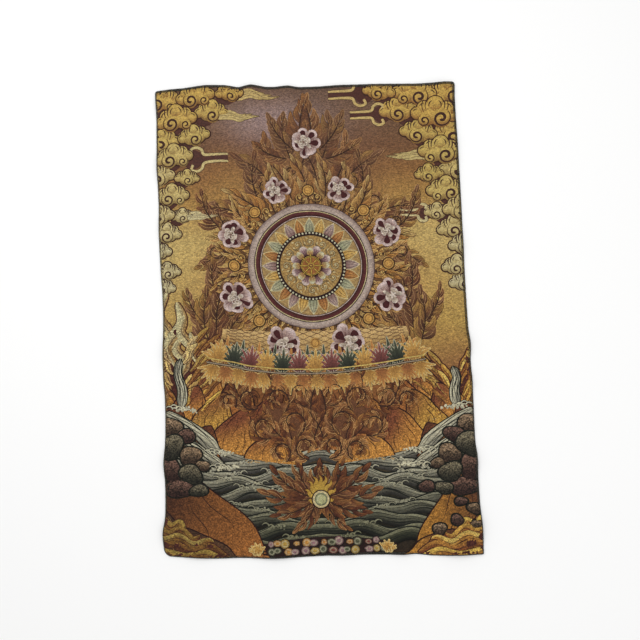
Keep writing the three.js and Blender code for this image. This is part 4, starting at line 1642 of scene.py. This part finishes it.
def tubes(paths, radius):
    """Joined tubes of thread along many paths at once: points, quads, and lays. Their ends are drawn in."""
    many, steps, _ = paths.shape
    ahead = np.gradient(paths, axis=1)
    ahead /= np.linalg.norm(ahead, axis=2, keepdims=True) + 1e-9
    reference = np.array([0.31, 0.52, 0.79])
    first = np.cross(ahead, reference)
    first /= np.linalg.norm(first, axis=2, keepdims=True)
    second = np.cross(ahead, first)
    angle = np.linspace(0, 2 * math.pi, TUBE_SIDES, endpoint=False)
    thin = np.ones(steps)
    thin[[0, -1]] = 0.25
    reach = radius * thin[:, None, None]
    turn = angle[:, None]
    off = first[:, :, None] * np.cos(turn) + second[:, :, None] * np.sin(turn)
    points = paths[:, :, None] + reach * off
    index = np.arange(many * steps * TUBE_SIDES).reshape(many, steps, TUBE_SIDES)
    following = np.roll(index, -1, 2)
    quads = np.stack([index[:, :-1], index[:, 1:], following[:, 1:], following[:, :-1]], -1).reshape(-1, 4)
    run = np.arange(steps)[:, None] + 0 * index
    lays = np.stack([run, angle + 0 * index], -1).reshape(-1, 2)
    return points.reshape(-1, 3), quads, lays


def overlock(side, reach, radius, pale):
    """Overlock stitches: threads that wrap the edge, a line of needle stitches, and a chain on the edge.
    `pale` scales the thread's tint on this side as painted light and shade.
    """
    points, ahead, inward = [rows[:, None] for rows in edge_line(side)]
    up = np.array([0, 0, 1.0])
    count = len(points)
    uneven = 1 + 0.08 * random.standard_normal((count, 1, 1))
    made, tints = [], []
    for places, jitter, share in ((WRAP, uneven, 1.0), (NEEDLE, 1.0, 0.8), (CHAIN, 1.0, 0.8)):
        within, out, lift, along = np.array(places).T[:, :, None]
        paths = points + inward * (reach * within - out) * jitter + up * lift + ahead * STITCH * along
        made.append(tubes(paths, share * radius))
        own = np.array(THREAD_TINTS)[random.integers(len(THREAD_TINTS), size=count)]
        # painted light and shade: the thread's tint is scaled by how this side of the edging is lit
        tints.append(pale * np.repeat(own, len(places) * TUBE_SIDES, 0))
    starts = np.cumsum([0, *[len(vertices) for vertices, _, _ in made]])
    vertices = np.vstack([m[0] for m in made])
    vertices[:, 2] = np.maximum(vertices[:, 2], CLEARANCE)
    quads = np.vstack([m[1] + start for m, start in zip(made, starts)])
    lays = np.vstack([m[2] for m in made])
    mesh = joined_mesh("overlock_" + side, vertices * MM, quads, np.vstack(tints), lays)
    return link(mesh.name, mesh)


# ---------------------------------------------------------------- putting it together

FLOOR_COLOUR = (0.93, 0.93, 0.925, 1)
FLOOR_HALF, FLOOR_DROP = 6.0, 0.0002  # half its side, and how far it is under the cloth, in metres
SKY_STRENGTH = 0.8
# The lights. Each row is (name, its place and its aim in metres, its diameter, its watts).
LIGHTS = [
    ("key", (-0.45, 0.75, 1.7), (0, 0.1, 0), 0.9, 9),
    ("fill", (0.9, -0.5, 1.9), (0, 0, 0), 1.4, 5),
]
CAMERA_PLACE = (0.063, -0.139, 1.366)  # metres from the design place (0, 0)
CAMERA_TURN = (5.26, 2.24, -1.95)  # degrees
LENS, SENSOR = 40, 36  # the camera's focal length and the width of its sensor, in mm


def light(name, place_m, aim_m, size, watts):
    """A round area light that faces its aim."""
    lamp = bpy.data.lights.new(name, "AREA")
    lamp.shape = "DISK"
    lamp.size = size
    lamp.energy = watts
    lamp_object = link(name, lamp)
    lamp_object.location = place_m
    lamp_object.rotation_euler = Vector(np.subtract(aim_m, place_m)).to_track_quat("-Z", "Y").to_euler()


def studio():
    """A plain pale floor, soft light from above, and the camera."""
    corners = [(FLOOR_HALF * u, FLOOR_HALF * v, -FLOOR_DROP) for u, v in ((-1, -1), (1, -1), (1, 1), (-1, 1))]
    floor_mesh = bpy.data.meshes.new("floor")
    floor_mesh.from_pydata(corners, [], [(0, 1, 2, 3)])
    floor_mesh.materials.append(Shader("floor").finish(FLOOR_COLOUR, 0.9))
    floor = link("floor", floor_mesh)

    world = bpy.data.worlds.new("studio")
    world.use_nodes = True
    sky = world.node_tree.nodes["Background"].inputs
    sky["Color"].default_value = (1, 1, 1, 1)
    sky["Strength"].default_value = SKY_STRENGTH
    bpy.context.scene.world = world
    for row in LIGHTS:
        light(*row)

    camera_data = bpy.data.cameras.new("camera")
    camera_data.lens = LENS
    camera_data.sensor_width = SENSOR
    camera = link("camera", camera_data)
    camera.location = (CAMERA_PLACE[0] + SHIFT_X * MM, CAMERA_PLACE[1] + SHIFT_Y * MM, CAMERA_PLACE[2])
    camera.rotation_euler = Euler([math.radians(a) for a in CAMERA_TURN])
    bpy.context.scene.camera = camera
    bpy.context.scene.view_settings.view_transform = "Standard"


brocade_face = silk("brocade_face", clumps=0.28)
figured = silk("figured_silk", clumps=0.2)
leafy = silk("veined_silk", clumps=0.18, veins=0.4)
ridged = silk("ridged_silk", clumps=0.3, grains=0.4, veins=0.3, vein_pitch=3.4)
gold_work = silk("gold_thread", clumps=0.16, metal=0.1, gloss=0.25)
speckled = silk("speckled_silk", clumps=0.36, grains=0.8)

sheet = cloth_sheet(brocade_face, brocade_back())
leaves, flowers = foliage()
bands, lotus = mandala()
foam = Piece("foam")
hills, rocks, streams = land(foam)
waves = waters(foam)
finishes = [
    (cloud_banks(), gold_work),
    (leaves, leafy),
    (flowers, figured),
    (bands, figured),
    (lotus, figured),
    (throne(), gold_work),
    (undergrowth(), leafy),
    (hills, ridged),
    (rocks, speckled),
    (streams, figured),
    (waves, figured),
    (foam, figured),
    (jewels(), figured),
]
motifs = [piece.build(material) for piece, material in finishes]
for piece in [sheet, *motifs]:
    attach(piece, "root")
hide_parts("cloth_panel")

thread_material = overlock_thread()
for side, node, reach, radius, pale in OVERLOCKS:
    edging = overlock(side, reach, radius, pale)
    edging.data.materials.append(thread_material)
    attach(edging, "root")
    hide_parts(node)

studio()
